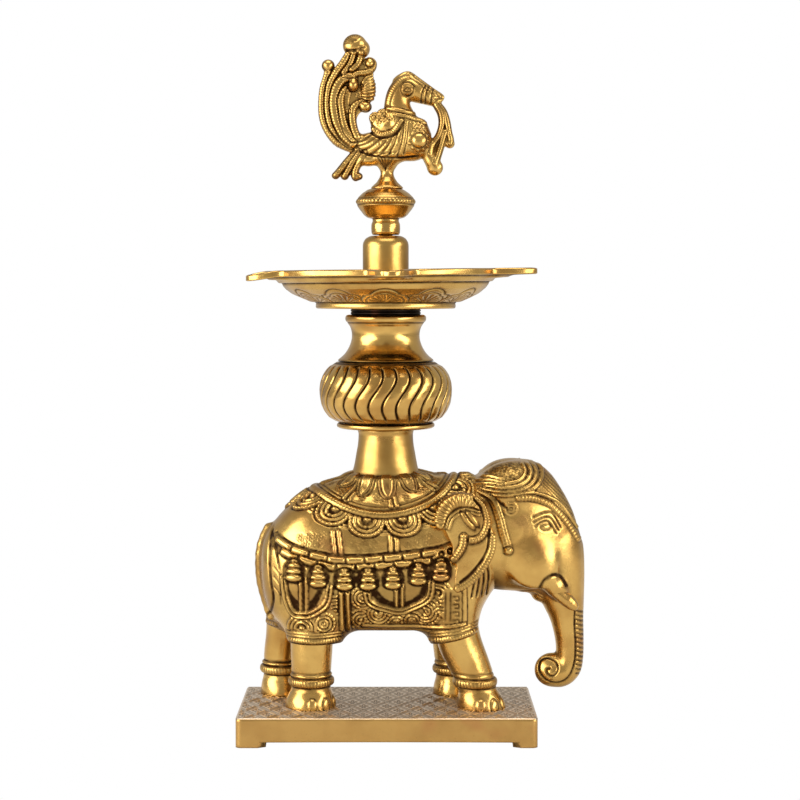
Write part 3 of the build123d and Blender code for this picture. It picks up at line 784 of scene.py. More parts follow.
def plinth():
    """The cast base: a top cut with a diamond lattice and flowers, a plain skirt, four corner feet."""
    low, high = (np.array(v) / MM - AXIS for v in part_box("plinth"))
    cx, cy = (low[0] + high[0]) / 2, (low[1] + high[1]) / 2
    half_x, half_y, top = (high[0] - low[0]) / 2 + 0.7, (high[1] - low[1]) / 2, high[2]
    cx += 0.7
    across, deep = 380, 190
    U, V = np.meshgrid(np.linspace(-half_x, half_x, across), np.linspace(-half_y, half_y, deep),
                       indexing="ij")
    U, V = rounded(U, V, half_x, half_y)
    border = np.minimum(half_x - np.abs(U), half_y - np.abs(V))
    field = smooth((border - 1.0) / 0.5)
    cuts = np.clip(lattice(U, V) * field, 0, 1)
    edge = np.clip(1 - border / 1.2, 0, 1)
    Z = top - 0.75 * cuts - 0.7 * edge**2
    points = np.stack([U + cx, V + cy, Z], -1).reshape(-1, 3)
    n = np.arange(across * deep).reshape(across, deep)
    rim = np.concatenate([n[:-1, 0], n[-1, :-1], n[:0:-1, -1], n[0, :0:-1]])
    faces = [grid_faces(across, deep)]
    start = len(points)
    shells = skirt(points[rim], (cx, cy), (half_x, half_y), top)
    m = len(rim)
    points = np.vstack([points] + shells + [[cx, cy, top - 4.0]])
    rows = np.vstack([rim] + [start + m * k + np.arange(m) for k in range(len(shells))])
    r, c = np.meshgrid(np.arange(len(shells)), np.arange(m), indexing="ij")
    nxt = (c + 1) % m
    faces.append(np.stack([rows[r, c], rows[r, nxt], rows[r + 1, nxt], rows[r + 1, c]], -1).reshape(-1, 4))
    last, middle = rows[-1], len(points) - 1
    faces.append(np.stack([last, np.roll(last, -1), np.full(m, middle)], 1))
    stain = np.concatenate([0.75 * cuts.ravel(), np.full(len(points) - start, 0.04)])
    first = points[faces[0][0]]
    if np.cross(first[1] - first[0], first[2] - first[0])[2] < 0:
        faces[0] = faces[0][:, ::-1]
    wall = faces[1][0]
    out = np.cross(points[wall[1]] - points[wall[0]], points[wall[2]] - points[wall[0]])
    if (out[:2] * (points[wall[0]][:2] - [cx, cy])).sum() < 0:
        faces[1], faces[2] = faces[1][:, ::-1], faces[2][:, ::-1]
    place("plinth_engraved", points, faces, stain, "base", "plinth_brass", PLINTH, ["plinth"])


# ---------------------------------------------------------------- elephant

def barrel(stations, power):
    """A body along X through (x, top, bottom, half width) stations, as a clay shape."""
    rough = curve(stations, 400)
    xs = np.linspace(rough[0, 0], rough[-1, 0], 1400)
    line = np.stack([np.interp(xs, rough[:, 0], rough[:, k]) for k in range(4)], 1)
    reach = np.arange(-90, 91)
    kernel = np.exp(-0.5 * (reach * (xs[1] - xs[0]) / 1.2) ** 2)
    for k in (1, 2, 3):
        ends = np.pad(line[:, k], 90, mode="reflect", reflect_type="odd")
        line[:, k] = np.convolve(ends, kernel / kernel.sum(), "valid")

    def shape(x, y, z):
        xs = np.clip(x, line[0, 0], line[-1, 0])
        top, bottom, wide = (np.interp(xs, line[:, 0], line[:, k]) for k in (1, 2, 3))
        tall, mid = (top - bottom) / 2, (top + bottom) / 2
        q = (np.abs(y / wide) ** power + np.abs((z - mid) / tall) ** power) ** (1 / power)
        return np.maximum((q - 1) * np.minimum(wide, tall) * 0.8, np.abs(x - xs) + 0 * q - 0.01)

    return shape


def dressed(points, faces, paint, rounds=8, limit=3.0):
    """Moves a mesh's points out along its normals by the relief that paint draws, and returns the patina,
    with any painted shade that paint adds.
    """
    normals = normals_of(points, faces)
    height, dark = paint(points, normals)
    edges = edges_of(faces)
    height = spread(np.clip(height, -1.2, limit), edges, 1)
    points = points + normals * height[:, None]
    hollow = hollows(points, faces, rounds)
    return points, np.clip(np.maximum(spread(dark, edges, 1), hollow), 0, 1)


CHAIN = [(-56.5, 101.0), (-53.1, 98.5), (-47, 95.8), (-40.5, 94.0), (-27.9, 91.4), (-16.3, 90.9),
         (-2.1, 91.9), (10, 92.9), (22.1, 94.5), (28, 95.6), (33.5, 97.6)]
BELLS = [(-46.9, 86.9), (-34.7, 84.4), (-21.5, 82.9), (-9.6, 82.9), (2.9, 83.4), (15.8, 85.4), (27.0, 87.5)]


def chain_link(r, u, v, half_u, half_v, height, lean):
    """A rounded rectangular chain link with a dark cut round it."""
    reach = half_u + half_v + 1
    i = r.near(u - reach, v - reach, u + reach, v + reach)
    co, si = math.cos(math.radians(lean)), math.sin(math.radians(lean))
    a, b = r.u[i] - u, r.v[i] - v
    p, q = a * co + b * si, b * co - a * si
    ex, ey = np.abs(p) - half_u + 0.9, np.abs(q) - half_v + 0.9
    d = np.hypot(np.maximum(ex, 0), np.maximum(ey, 0)) + np.minimum(np.maximum(ex, ey), 0) - 0.9
    r.h[i] = np.where(d < 0, height * (0.55 + 0.45 * smooth(-d / 1.1)), np.where(d < 0.55, 0.35, r.h[i]))
    r.dark[i] = np.where(d < -0.25, 0.0, np.where(d < 0.5, 0.9, r.dark[i]))


def bell(r, u, v):
    """A hanging tassel bell: a small knob over three widening rings."""
    i = r.near(u - 6.2, v - 6.8, u + 6.2, v + 6.8)
    q = np.hypot((r.u[i] - u) / 6.0, (r.v[i] - v) / 6.6)
    r.h[i] = np.where(q < 1, np.minimum(r.h[i], -0.4), r.h[i])
    r.dark[i] = np.where(q < 1, np.maximum(r.dark[i], 0.92), r.dark[i])
    for down, half, tall, height in ((4.7, 2.0, 1.5, 1.5), (2.5, 3.2, 2.0, 2.2), (-0.2, 4.1, 2.1, 2.6),
                                     (-3.2, 4.6, 2.2, 2.8)):
        r.dome(u, v + down, half, tall, height, rim=0.35, flat=0.4)


SADDLE_R, SCALLOP_V, ROPE_V = 40, 30.3, 28.3


def saddle_scallops(r):
    """Roped scallops with a cone of rings in each, over a row of small ones between them."""
    for k in range(-8, 9):
        u = TAU * SADDLE_R / 14 * (k + 0.05)
        r.arcs(u + TAU * SADDLE_R / 28, SCALLOP_V, [7.0, 5.6], 0, 180, 1.1, 0.6, base=-0.1)
    for k in range(-8, 9):
        u = TAU * SADDLE_R / 14 * (k + 0.05)
        i = r.near(u - 9.4, SCALLOP_V, u + 9.4, 40)
        q = np.hypot(r.u[i] - u, r.v[i] - SCALLOP_V)
        inside = q < 9.3
        r.h[i] = np.where(inside, 0.55, r.h[i])
        r.dark[i] = np.where(inside, 0.0, r.dark[i])
        r.arcs(u, SCALLOP_V, [8.4, 6.3, 4.3], 0, 180, 1.6, 0.95, base=0.35, pitch=1.8, core=1.8)
        angle = np.arctan2(r.v[i] - SCALLOP_V, r.u[i] - u)
        edge = ridge(q - 9.55, 0.5) * (angle > 0)
        r.h[i] -= 0.6 * edge
        r.dark[i] = np.maximum(r.dark[i], edge)
        r.line([(u - 1.0, 32.5), (u - 1.0, 35.5)], 0.5, 0.4)
        r.line([(u + 1.0, 32.5), (u + 1.0, 35.5)], 0.5, 0.4)


def saddle_rope(r, z):
    """The roped band between its cut lines."""
    band = np.exp(-(((r.v - ROPE_V) / 0.9) ** 4))
    ropes = 0.55 + 0.45 * np.cos(TAU * (r.u / 2.0 + 0.35 * (r.v - ROPE_V)))
    on = (np.abs(r.v - ROPE_V) < 1.15) & (z > 92)
    r.h = np.where(on, 0.75 + 0.55 * ropes * band, r.h)
    r.dark = np.where(on, 0.5 * (1 - ropes) ** 2, r.dark)
    for level in (26.4, 24.9, 30.2):
        cut = ridge(r.v - level, 0.42) * (z > 92)
        r.h -= 0.55 * cut
        r.dark = np.maximum(r.dark, 0.95 * cut)


def saddle_straps(r):
    """Pairs of short straps from the petals to the band, with punched flowers between."""
    for k in range(-8, 9):
        u = SADDLE_R * math.radians(-80.2 + 45 * k)
        for side in (-1.9, 1.9):
            r.cord([(u + side, 15.0), (u + side, 24.4)], 2.3, 0.7, base=0.55, rim=0.8)
        for flower_u, flower_v in ((u + 9.5, 22.2), (u + 20, 21.0), (u + 24.5, 23.0)):
            r.stamp(flower_u, flower_v, 2.6, 0.4)


def saddle_petals(r):
    """Twelve broad petals round the collar, each with an inner line and three veins."""
    for k in range(-7, 8):
        u = SADDLE_R * TAU / 12 * (k + 0.18)
        i = r.near(u - 12, 9, u + 12, 22.5)
        t = (r.v[i] - 11.0) / 10.3
        half = 9.6 * np.sqrt(np.clip(1 - np.clip(t, 0, 1) ** 2.4, 0, 1))
        inset = half - np.abs(r.u[i] - u)
        inside = (inset > 0) & (t < 1)
        r.h[i] = np.where(inside, 0.95 - 0.9 * ridge(inset - 2.6, 0.9), r.h[i])
        r.dark[i] = np.where(inside, ridge(inset - 2.6, 0.9), r.dark[i])
        rim = ridge(inset, 0.8) * (t < 1.05)
        r.h[i] -= 0.8 * rim
        r.dark[i] = np.maximum(r.dark[i], rim)
        for vein in (-2.2, 0, 2.2):
            r.line([(u + vein, 14.0), (u + vein * 0.6, 17.6)], 0.7, 0.3, 0.7)


def saddle_cloth(points):
    """The round saddle cloth, and where it covers the body."""
    x, y, z = points.T
    tilt = np.arctan2(np.abs(y), z - 94.0)
    a, b = (x + 2.0) / 37.0, tilt / 0.913
    reach = np.hypot(a, b) * 37.0
    turn = np.arctan2(np.where(y < 0, -b, b), a)
    r = Relief(turn * 40.0, reach * 0.77)
    r.h[(r.v < 30.5) & (z > 92)] = 0.5
    saddle_scallops(r)
    saddle_rope(r, z)
    saddle_straps(r)
    saddle_petals(r)
    weight = smooth((40.6 - r.v) / 0.3) * smooth((z - 90) / 2) * smooth((x + 62) / 3) * smooth((46 - x) / 4)
    edge = smooth((r.v - 30.4) / 0.2) * (r.h > 0.0)
    scallop = np.where(r.v > 30.4, edge, 1.0)
    covered = weight * ((r.v < 30.4) | (r.h != 0)) * np.maximum(scallop, (r.dark > 0.3))
    return r.h * weight, r.dark * weight, covered


def cloth_straps(r):
    """Hanging straps with punched flowers between them."""
    for x0, x1, y0, y1 in ((-27.6, -26.0, 107, 94), (-24.6, -23.0, 107, 94), (1.6, 2.2, 106, 94),
                           (4.6, 5.2, 106, 94)):
        r.cord([(x0, y0), (x1, y1)], 2.0, 0.9, rim=0.8)
    for px, pz in ((-41.5, 102.5), (-35.0, 103.0), (-14.5, 99.5), (-8.5, 100.5), (13.0, 100.0),
                   (19.0, 103.5)):
        for du, dv in ((-1.6, 0.8), (1.5, 1.2), (0.2, -1.7)):
            r.stamp(px + 1.4 * du, pz + 1.4 * dv, 2.2, 0.4)


def chain(r):
    """The chain of overlapping links between two cut lines, with two rosettes at its front end."""
    for low in (4.2, -4.3):
        r.line([(x, z + low) for x, z in CHAIN], 0.9, 0.5, 0.9)
    i = r.path(CHAIN, 4.0, 80)[0]
    r.h[i], r.dark[i] = 0.3, 0.8
    line = curve(CHAIN, 200)
    steps = np.concatenate([[0], np.cumsum(np.linalg.norm(np.diff(line, axis=0), axis=1))])

    def on_chain(s, off):
        p = [np.interp(s, steps, line[:, k]) for k in (0, 1)]
        q = [np.interp(s + 0.5, steps, line[:, k]) for k in (0, 1)]
        d = np.array(q) - np.array(p)
        d /= max(np.linalg.norm(d), 1e-6)
        return p[0] - d[1] * off, p[1] + d[0] * off, math.degrees(math.atan2(d[1], d[0]))

    for s in np.arange(4.0, steps[-1] - 9, 9.6):
        x, z, lean = on_chain(s, 1.75)
        chain_link(r, x, z, 4.4, 1.75, 1.9, lean)
        x, z, lean = on_chain(s + 4.9, -1.75)
        chain_link(r, x, z, 4.4, 1.75, 1.9, lean)
    for s in (steps[-1] - 6.5, steps[-1] - 2.0):
        x, z, lean = on_chain(s, 0)
        r.arcs(x, z, [2.4], 0, 360, 1.6, 1.4, base=0.4, core=0.7)


def scrolls(r):
    """Ringed scrolls that fill the cloth's lower part, on a slightly dark ground."""
    band = np.exp(-(((r.v - 77) / 12.0) ** 8)) * (r.u < 40)
    r.dark = np.maximum(r.dark, 0.25 * band)
    for x, z, size, start, end in ((-32.2, 60.0, 5.4, 0, 360), (-26.4, 66.6, 7.6, -60, 150),
                                   (-13.4, 61.0, 5.8, 0, 360), (-12.4, 73.2, 5.6, 60, 330),
                                   (-4.4, 64.6, 7.0, 150, 400), (4.6, 59.6, 5.0, 20, 160),
                                   (12.6, 60.4, 5.2, 0, 200), (19.6, 66.0, 7.2, -120, 130),
                                   (25.6, 76.0, 6.4, -80, 110), (27.0, 64.6, 5.2, -60, 150)):
        rings = [size - 1.75 * k for k in range(4) if size - 1.75 * k > 1.2]
        r.arcs(x, z, rings, start, end, 1.35, 1.15, base=0.0, pitch=1.9, core=1.1)
    r.arcs(-43.3, 57.2, [7.0, 5.2, 3.4], -10, 190, 1.4, 1.0, core=1.5)


def festoons(r):
    """Two upright cords, and two hanging swags with a beaded and a plain edge round a dark hollow."""
    for x in (-23.3, -19.9):
        r.cord([(x, 79), (x + 0.3, 55.5)], 2.0, 1.3, base=0.1, rim=0.8)
    for left, bottom, right in (((-52.2, 84.0), (-42.4, 65.6), (-29.6, 80.5)),
                                ((-9.4, 80.0), (6.2, 66.8), (21.6, 82.0))):
        depth = bottom[1]
        shape = [left, (left[0] + 1.6, (left[1] + depth) / 2 - 2.0), (bottom[0] - 4.6, depth + 0.8), bottom,
                 (bottom[0] + 4.9, depth + 1.2), (right[0] - 1.8, (right[1] + depth) / 2 - 1.2), right]
        line_in = np.array(curve(shape, 60))
        middle = np.array([bottom[0], left[1]])
        i = r.near(left[0], depth - 3, right[0], max(left[1], right[1]) + 2)
        a, b = r.u[i] - bottom[0], (r.v[i] - left[1])
        half = (right[0] - left[0]) / 2
        q = np.hypot(a / half, np.minimum(b, 0) / (left[1] - depth))
        hole = q < 0.98
        r.h[i] = np.where(hole, -0.5, r.h[i])
        r.dark[i] = np.where(hole, np.where(q > 0.72, 0.95, 0.35), r.dark[i])
        for side in (-1.5, 1.5):
            r.cord([(bottom[0] + side, left[1]), (bottom[0] + side, depth + 1.4)], 1.5, 1.0, base=-0.2,
                   rim=0.7)
        r.cord([tuple(p) for p in line_in], 1.7, 1.5, base=0.2, pitch=1.1, rim=0.6, count=60)
        outer = middle + (line_in - middle) * 1.13
        r.cord([tuple(p) for p in outer], 1.5, 1.3, base=0.1, rim=0.6, count=60)


def panel_and_hem(r):
    """The key-pattern panel at the front and the cords of the hem."""
    i = r.near(28.5, 58.0, 40.6, 78.0)
    r.h[i], r.dark[i] = 0.35, 0.25
    for x in (29.6, 32.0):
        r.line([(x, 76), (x, 62)], 0.6, 0.4)
    for k in range(4):
        r.line([(33.2, 74 - 4 * k), (36.0, 74 - 4 * k), (36.0, 72 - 4 * k), (34.4, 72 - 4 * k)], 0.6, 0.5,
               count=12)
    r.cord([(39.2, 78.0), (39.4, 59.6)], 2.0, 0.8, base=0.2, rim=0.7)
    r.cord([(-12.5, 57.6), (5, 56.9), (22, 57.4), (39.4, 59.6)], 1.7, 0.9, base=0.1, rim=0.7)
    r.cord([(-15.0, 55.0), (5, 54.4), (22, 54.8)], 1.2, 0.6, rim=0.6)


def lower_cloth(u, v):
    """The hanging cloth, drawn on one side view."""
    r = Relief(u, v)
    cloth_straps(r)
    chain(r)
    scrolls(r)
    festoons(r)
    for x, z in BELLS:
        bell(r, x, z)
    panel_and_hem(r)
    return r


def cuffs(r, stubs):
    """Ribbed bands at the ends of the thighs."""
    for x, half, z_left, z_right in stubs:
        for up, pitch, width, height in ((1.7, 1.35, 2.6, 0.9), (4.1, 0.0, 1.1, 0.6), (5.6, 0.0, 0.9, 0.5)):
            r.cord([(x - half - 1, z_left + up), (x + half + 1, z_right + up)], width, height, pitch=pitch,
                   slant=0.1)


HIND_NEAR, HIND_FAR = (-37.4, 12.9, 49.0, 49.0), (-53.2, 10.8, 53.0, 53.0)
FORE_NEAR, FORE_FAR = (34.6, 11.6, 48.4, 54.0), (34.0, 11.5, 51.0, 53.0)


def body_relief(points, normals):
    """Everything cut and raised on the elephant's body, and painted shade on its low, downward-facing
    undersides.
    """
    x, y, z = points.T
    h, dark, weight = saddle_cloth(points)
    for near in (True, False):
        on = (y < 0) == near
        r = lower_cloth(x[on], z[on])
        cuffs(r, (HIND_NEAR, FORE_NEAR) if near else (HIND_FAR, FORE_FAR))
        r.line([(-58.0, 112), (-59.6, 104), (-60.2, 92), (-59.4, 80), (-58.2, 72), (-60.0, 64), (-63, 60)],
               0.9, 0.8, 0.95)
        for k in range(5):
            r.line([(-60.5 + k, 109 - 2.4 * k), (-57.6 + k * 0.7, 100 - 3.2 * k)], 0.55, 0.4, 0.8)
        for k in range(3):
            r.line([(-57.5, 88 - 5 * k), (-54.5, 84 - 5 * k), (-54.2, 79 - 5 * k)], 0.5, 0.4, 0.7, count=12)
        for k in range(4):
            r.line([(41.5 + 2.6 * k, 96), (44.5 + 2.5 * k, 84), (43.0 + 2.7 * k, 73)], 0.7, 0.7, 0.95,
                   count=16)
        facing = smooth((np.abs(normals[on, 1]) - 0.12) / 0.25) * (z[on] < 109)
        below = 1 - weight[on]
        h[on] += r.h * facing * below
        dark[on] = np.maximum(dark[on], r.dark * facing * below)
    # Painted shade: surfaces that face down low on the body are darkened through the patina attribute.
    under = smooth((-normals[:, 2] - 0.3) / 0.4) * smooth((60 - z) / 6)
    return h, np.clip(dark + 0.45 * under, 0, 1)


def thigh(x, half, y, low, tilt, lean):
    """A thigh that widens upward from a slanting cuff at height low."""
    def shape(px, py, pz):
        t = np.clip((pz - low) / 34, 0, 1.4)
        r = half + 2.5 * t
        d = np.hypot(px - x - lean * t, (py - y * (1 - 0.1 * t)) * half / 13.0) - r
        flat = low + tilt * (px - x) - pz
        return np.maximum(d, np.maximum(flat, pz - low - 36))

    return shape


def collar_seat(x, y, z):
    """The low mound on the back that the collar stands on."""
    out = np.hypot(x * 0.96, y)
    return np.maximum(z - 135.3 + 2.0 * (out / 18) ** 3, np.maximum(out - 20.5, 122 - z))


def elephant_body():
    """The elephant's torso, thighs and tail, in two halves to keep each mesh small."""
    clay = Clay((-72, -36, 44), (64, 36, 139), 0.5)
    torso = [(-66.6, 91, 86, 2.5), (-66.0, 97, 78, 9.5), (-64.2, 102, 69, 15.5), (-61.2, 106.6, 61, 20.0),
             (-56.2, 112.4, 56.5, 24.2), (-49.4, 119.6, 53.2, 27.2), (-40.4, 126.2, 52.2, 29.6),
             (-30, 130.4, 51.8, 30.6), (-16, 133.4, 51.8, 31.0), (0, 134.8, 51.8, 31.0),
             (12, 134.8, 51.8, 30.6), (22, 133.2, 52.2, 29.6), (32, 133.4, 54, 27.6),
             (42, 133.4, 58.5, 24.8), (50, 132.4, 66.5, 21.6), (60, 133.4, 79, 17)]
    clay.add(barrel(torso, 2.25), (-69, -32, 51), (60, 32, 136), 2)
    clay.add(collar_seat, (-22, -21, 122), (22, 21, 136), 3)
    for (x, half, z_left, z_right), y, lean in ((HIND_NEAR, -13.5, 3), (HIND_FAR, 15.5, 3),
                                                (FORE_NEAR, -14.0, -4), (FORE_FAR, 15.0, -2)):
        low = (z_left + z_right) / 2
        tilt = (z_right - z_left) / (2 * half)
        clay.add(thigh(x, half, y, low, tilt, lean), (x - half - 6, y - 16, low - 4),
                 (x + half + 6, y + 16, low + 36), 10)
    clay.limb([(-61.6, 0, 105, 3.0), (-65.2, 0, 94, 3.2), (-65.0, -1, 80, 3.4), (-62.6, -3, 69, 3.0),
               (-61.0, -5, 59, 1.4)], 1.5)
    points, faces = clay.mesh(easing=10)
    points, patina = dressed(points, faces, body_relief)
    normals = normals_of(points, faces)
    for name, side in (("elephant_near_side", -1), ("elephant_far_side", 1)):
        part = [f[(points[f, 1].mean(1) * side) > 0] for f in faces]
        used = np.unique(np.concatenate([f.ravel() for f in part]))
        index = np.full(len(points), -1)
        index[used] = np.arange(len(used))
        piece = place(name, points[used], [index[f] for f in part if len(f)], patina[used], "base",
                      "elephant_brass", BODY, ["elephant_body"] if side < 0 else [])
        piece.data.normals_split_custom_set_from_vertices([tuple(n) for n in normals[used]])


def head_cloth(r):
    """The chased cloth over the crown: a grained field, four arched cords and short neck cords."""
    i = r.near(44, 123.5, 86, 143)
    field = np.hypot((r.u[i] - 62) / 19, (r.v[i] - 134) / 9.5) < 1
    swirl_u = np.cos(r.u[i] * 3.1 + 1.7 * np.sin(r.v[i] * 2.3))
    swirl_v = np.cos(r.v[i] * 3.4 + 1.3 * np.sin(r.u[i] * 1.9))
    grain = swirl_u * swirl_v
    r.h[i] += np.where(field, 0.28 * grain, 0)
    r.dark[i] = np.where(field, np.clip(0.55 - 1.2 * grain, 0, 0.8), r.dark[i])
    outer = np.array([(46.5, 125.4), (53, 124.6), (60, 124.6), (67, 125.2), (73.6, 127.0), (78.4, 131),
                      (79.9, 135.7), (77.6, 140.4)])
    middle = np.array([58.0, 138.5])
    for k in range(4):
        path = middle + (outer - middle) * (1 - 0.145 * k)
        r.cord([tuple(p) for p in path], 1.9, 0.95, pitch=1.0 if k == 1 else 0.0, rim=0.5)
    for k in range(3):
        r.cord([(45.0, 129.2 + 1.9 * k), (52, 130.6 + 1.7 * k), (59, 130.0 + 1.4 * k)], 1.5, 0.7, rim=0.4)
    for k in range(4):
        r.line([(31.0 + 2.8 * k, 133.5), (33.0 + 2.8 * k, 127.0)], 0.7, 0.6, 0.9)


def brow_band(r):
    """The roped brow band, a plain cord over it, and a dotted field above."""
    r.cord([(66.8, 123.0), (74.4, 122.6), (82, 119.8), (87, 115.9), (92.9, 109.1), (98.8, 100.5)], 3.0, 1.0,
           pitch=1.8, slant=0.2)
    r.cord([(64.8, 125.2), (75.0, 125.6), (85.4, 121.6), (91.3, 116.4), (98.4, 106)], 1.3, 0.7, rim=0.4)
    i = r.near(78, 112, 100, 137)
    above = (r.v[i] > 126.5 - 1.02 * (r.u[i] - 80)) & (r.v[i] < 137 - 0.9 * (r.u[i] - 80)) & (r.h[i] < 0.4)
    dots = np.cos(r.u[i] * 3.6) * np.cos(r.v[i] * 3.6)
    r.h[i] += np.where(above, 0.2 * dots, 0)
    r.dark[i] = np.where(above, np.clip(0.45 - dots, 0, 0.75), r.dark[i])


def eye(r):
    """The almond eye under three arched lines."""
    i = r.near(76, 104, 86, 112)
    q = np.hypot((r.u[i] - 81.0) / 2.9, (r.v[i] - 107.8) / 1.75)
    lid = ridge(q - 1, 0.16)
    r.h[i] += 0.4 * np.clip(1 - q**2, 0, 1) - 0.45 * lid
    r.dark[i] = np.maximum(r.dark[i], 0.95 * lid)
    for brow in ([(75.2, 108.3), (79.0, 110.6), (82.6, 110.4), (86.6, 104.2)],
                 [(74.4, 110.6), (79.8, 112.8), (83.6, 112.3), (88.0, 105.8)],
                 [(74.0, 113.2), (80.6, 115.4), (84.6, 114.6), (89.2, 107.2)]):
        r.line(brow, 0.55, 0.5, 0.95)


def cheek_strap(r):
    """The beaded strap down the cheek between two plain cords, with its boss and a rosette."""
    for shift in (-1.45, 1.45):
        r.cord([(46.6 + shift, 126), (53.3 + shift, 122.0), (56.7 + shift, 114.2), (59.2 + shift, 104.9),
                (61.5 + shift, 97.5)], 1.2, 0.8, rim=0.5)
    r.cord([(46.6, 126), (53.3, 122.0), (56.7, 114.2), (59.2, 104.9), (61.5, 97.5)], 1.9, 1.2, pitch=1.1,
           slant=0.1, rim=0.2)
    r.dome(61.6, 96.0, 2.2, 2.0, 1.4, rim=0.6)
    r.arcs(63.0, 117.6, [3.0, 1.6], 0, 360, 1.0, 0.6, core=0.6)
    for k in range(3):
        r.line([(55.0 + 1.8 * k, 122.5 - k), (58.6 + 1.5 * k, 118.8 - k)], 0.5, 0.4)


def trunk_cuts(r):
    """Lines round the tusk's socket, rungs down the trunk's front, and the line into its curl."""
    for lift, side in ((0.0, 0.55), (1.0, 0.3)):
        socket = [(78.4 - lift, 76.6), (80.2, 80.6 + lift), (84.8, 83.0 + lift), (89.4, 81.2 + lift),
                  (91.8 + lift, 76.8)]
        r.line(socket, 0.6, side, 0.95)
    for k in range(15):
        z0 = 62.5 - 2.35 * k
        r.line([(97.9, z0 + 0.6), (101.8, z0 - 0.6)], 0.62, 0.65 if z0 > 30 else 0.3, 0.9)
    spiral = [(96.9, 64.5), (96.8, 55.8), (97.4, 45.6), (97.0, 37), (94.1, 28.9), (88.4, 25.4), (81.9, 26.7),
              (78.7, 31.2), (79.5, 36.1), (83.3, 37.8), (87.3, 36.1), (88.2, 32.1), (85.9, 29.0),
              (83.1, 29.7), (82.3, 32.2), (84.1, 33.1)]
    r.line(spiral, 0.62, 0.8, 0.98, count=140)
    r.cord([(66, 72.0), (75, 73.0), (80, 70.5)], 1.0, 0.3, rim=0.3)


def head_relief(points, normals):
    """Everything cut and raised on the head and trunk, and painted shade under the head at the throat."""
    x, _, z = points.T
    r = Relief(x, z)
    head_cloth(r)
    brow_band(r)
    eye(r)
    cheek_strap(r)
    trunk_cuts(r)
    facing = smooth((np.abs(normals[:, 1]) - 0.10) / 0.22)
    facing = np.where(x > 97.5, smooth((np.abs(normals[:, 1]) - 0.02) / 0.1), facing)
    # Painted shade under the head: surfaces that face down by the throat are darkened.
    painted_throat_shade = smooth((-normals[:, 2] - 0.2) / 0.5) * smooth((64 - x) / 10) * smooth((92 - z) / 8)
    return r.h * facing, np.clip(r.dark * facing + 0.7 * painted_throat_shade, 0, 1)


def elephant_head():
    """Head and trunk in one casting."""
    clay = Clay((30, -24, 21), (104, 24, 144), 0.5)
    skull = [(30, 131.0, 100, 15), (38, 131.2, 91, 18), (44, 132.0, 81, 20), (50, 134.8, 74.5, 21),
             (58, 138.4, 72.8, 21.4), (66, 141.0, 72.2, 21.2), (73, 141.2, 71.2, 20.4),
             (79, 138.8, 69.2, 19), (85, 133.9, 68, 17), (90, 126.8, 67, 14.8), (94.5, 119.0, 65, 12.4),
             (98, 110.8, 64, 9.6), (100.2, 102, 66, 6.6), (101, 95, 72, 3.4)]
    clay.add(barrel(skull, 2.1), (30, -22, 64), (101, 22, 142), 1)
    clay.limb([(88, 0, 96, 12.6), (89.6, 0, 82, 11.4), (91.0, 0, 70, 9.8), (93.2, 0, 60, 7.6),
               (94.8, 0, 48, 6.3), (95.0, 0, 39, 6.0), (94.0, 0, 32.6, 6.2), (90.4, 0, 29.4, 6.4),
               (86.0, 0, 29.6, 7.0)], 3, pieces=24)
    clay.egg((85.7, 0, 31.0), (9.2, 5.6, 8.9), 1.0)
    clay.egg((79.8, 0, 70.0), (4.6, 6.0, 3.4), 1.5)
    for side in (-1, 1):
        clay.limb([(80, side * 12, 84, 5.0), (85.5, side * 12.6, 77.6, 4.6), (88.4, side * 12.0, 74.2, 4.2)],
                  2.2)
        clay.egg((75, side * 16.5, 88), (12, 4.5, 12), 4)
        clay.egg((63.5, side * 9, 127), (17, 13, 13.6), 3)
    points, faces = clay.mesh(easing=10)
    points, patina = dressed(points, faces, head_relief, limit=1.6)
    place("elephant_head_and_trunk", points, faces, patina, "base", "elephant_brass", BODY,
          ["elephant_head", "elephant_trunk"])


def tusks():
    """Two short tusks, each with two rings near its tip."""
    for name, node, side in (("tusk_near", "tusk_right", -1), ("tusk_far", "tusk_left", 1)):
        clay = Clay((80, min(side * 8, side * 22), 60), (101, max(side * 8, side * 22), 80), 0.35)
        clay.limb([(84.2, side * 13.0, 77.0, 3.6), (87.6, side * 13.9, 73.4, 3.4),
                   (92.0, side * 14.4, 69.6, 3.1), (95.6, side * 14.4, 66.9, 2.6)], 0.5, pieces=12)
        for k, r in ((0.70, 3.45), (0.84, 3.15)):
            x, y, z = 84.2 + 11.4 * k, side * (13.0 + 1.5 * k), 77.0 - 10.2 * k
            clay.limb([(x, y, z, r), (x + 0.5, y, z - 0.45, r)], 0.3, pieces=2)
        points, faces = clay.mesh()
        patina = hollows(points, faces, 4, 0.2)
        place(name, points, faces, patina, "base", "elephant_brass", BODY, [node])


EAR_EDGE = [(24.6, 114), (25.9, 119), (29.6, 123.7), (35.5, 126.4), (40.5, 126.2), (45.5, 123.6),
            (49.2, 119.4), (51.2, 113.6), (52.4, 109), (54.4, 105), (55.0, 100.2), (53.3, 93.9),
            (48.9, 86.4), (43.9, 81.2), (38, 76.8), (34.2, 76.4), (34.0, 83.9), (34.8, 90.2), (32.1, 92.5),
            (33.0, 98.9), (30.9, 104), (28.4, 109), (25.2, 111)]


def inside_of(outline, x, z):
    """Signed distance to a closed outline in the XZ plane, negative inside."""
    p = curve(outline + outline[:1], 90)
    a, b = p[:-1], p[1:]
    best, odd = np.full(np.broadcast(x, z).shape, 1e9), np.zeros(np.broadcast(x, z).shape, bool)
    for (ax, az), (bx, bz) in zip(a, b):
        dx, dz = bx - ax, bz - az
        t = np.clip(((x - ax) * dx + (z - az) * dz) / max(dx * dx + dz * dz, 1e-9), 0, 1)
        best = np.minimum(best, np.hypot(x - ax - t * dx, z - az - t * dz))
        crosses = ((az > z) != (bz > z)) & (x < (bx - ax) * (z - az) / (bz - az if bz != az else 1e-9) + ax)
        odd ^= crosses
    return np.where(odd, -best, best)


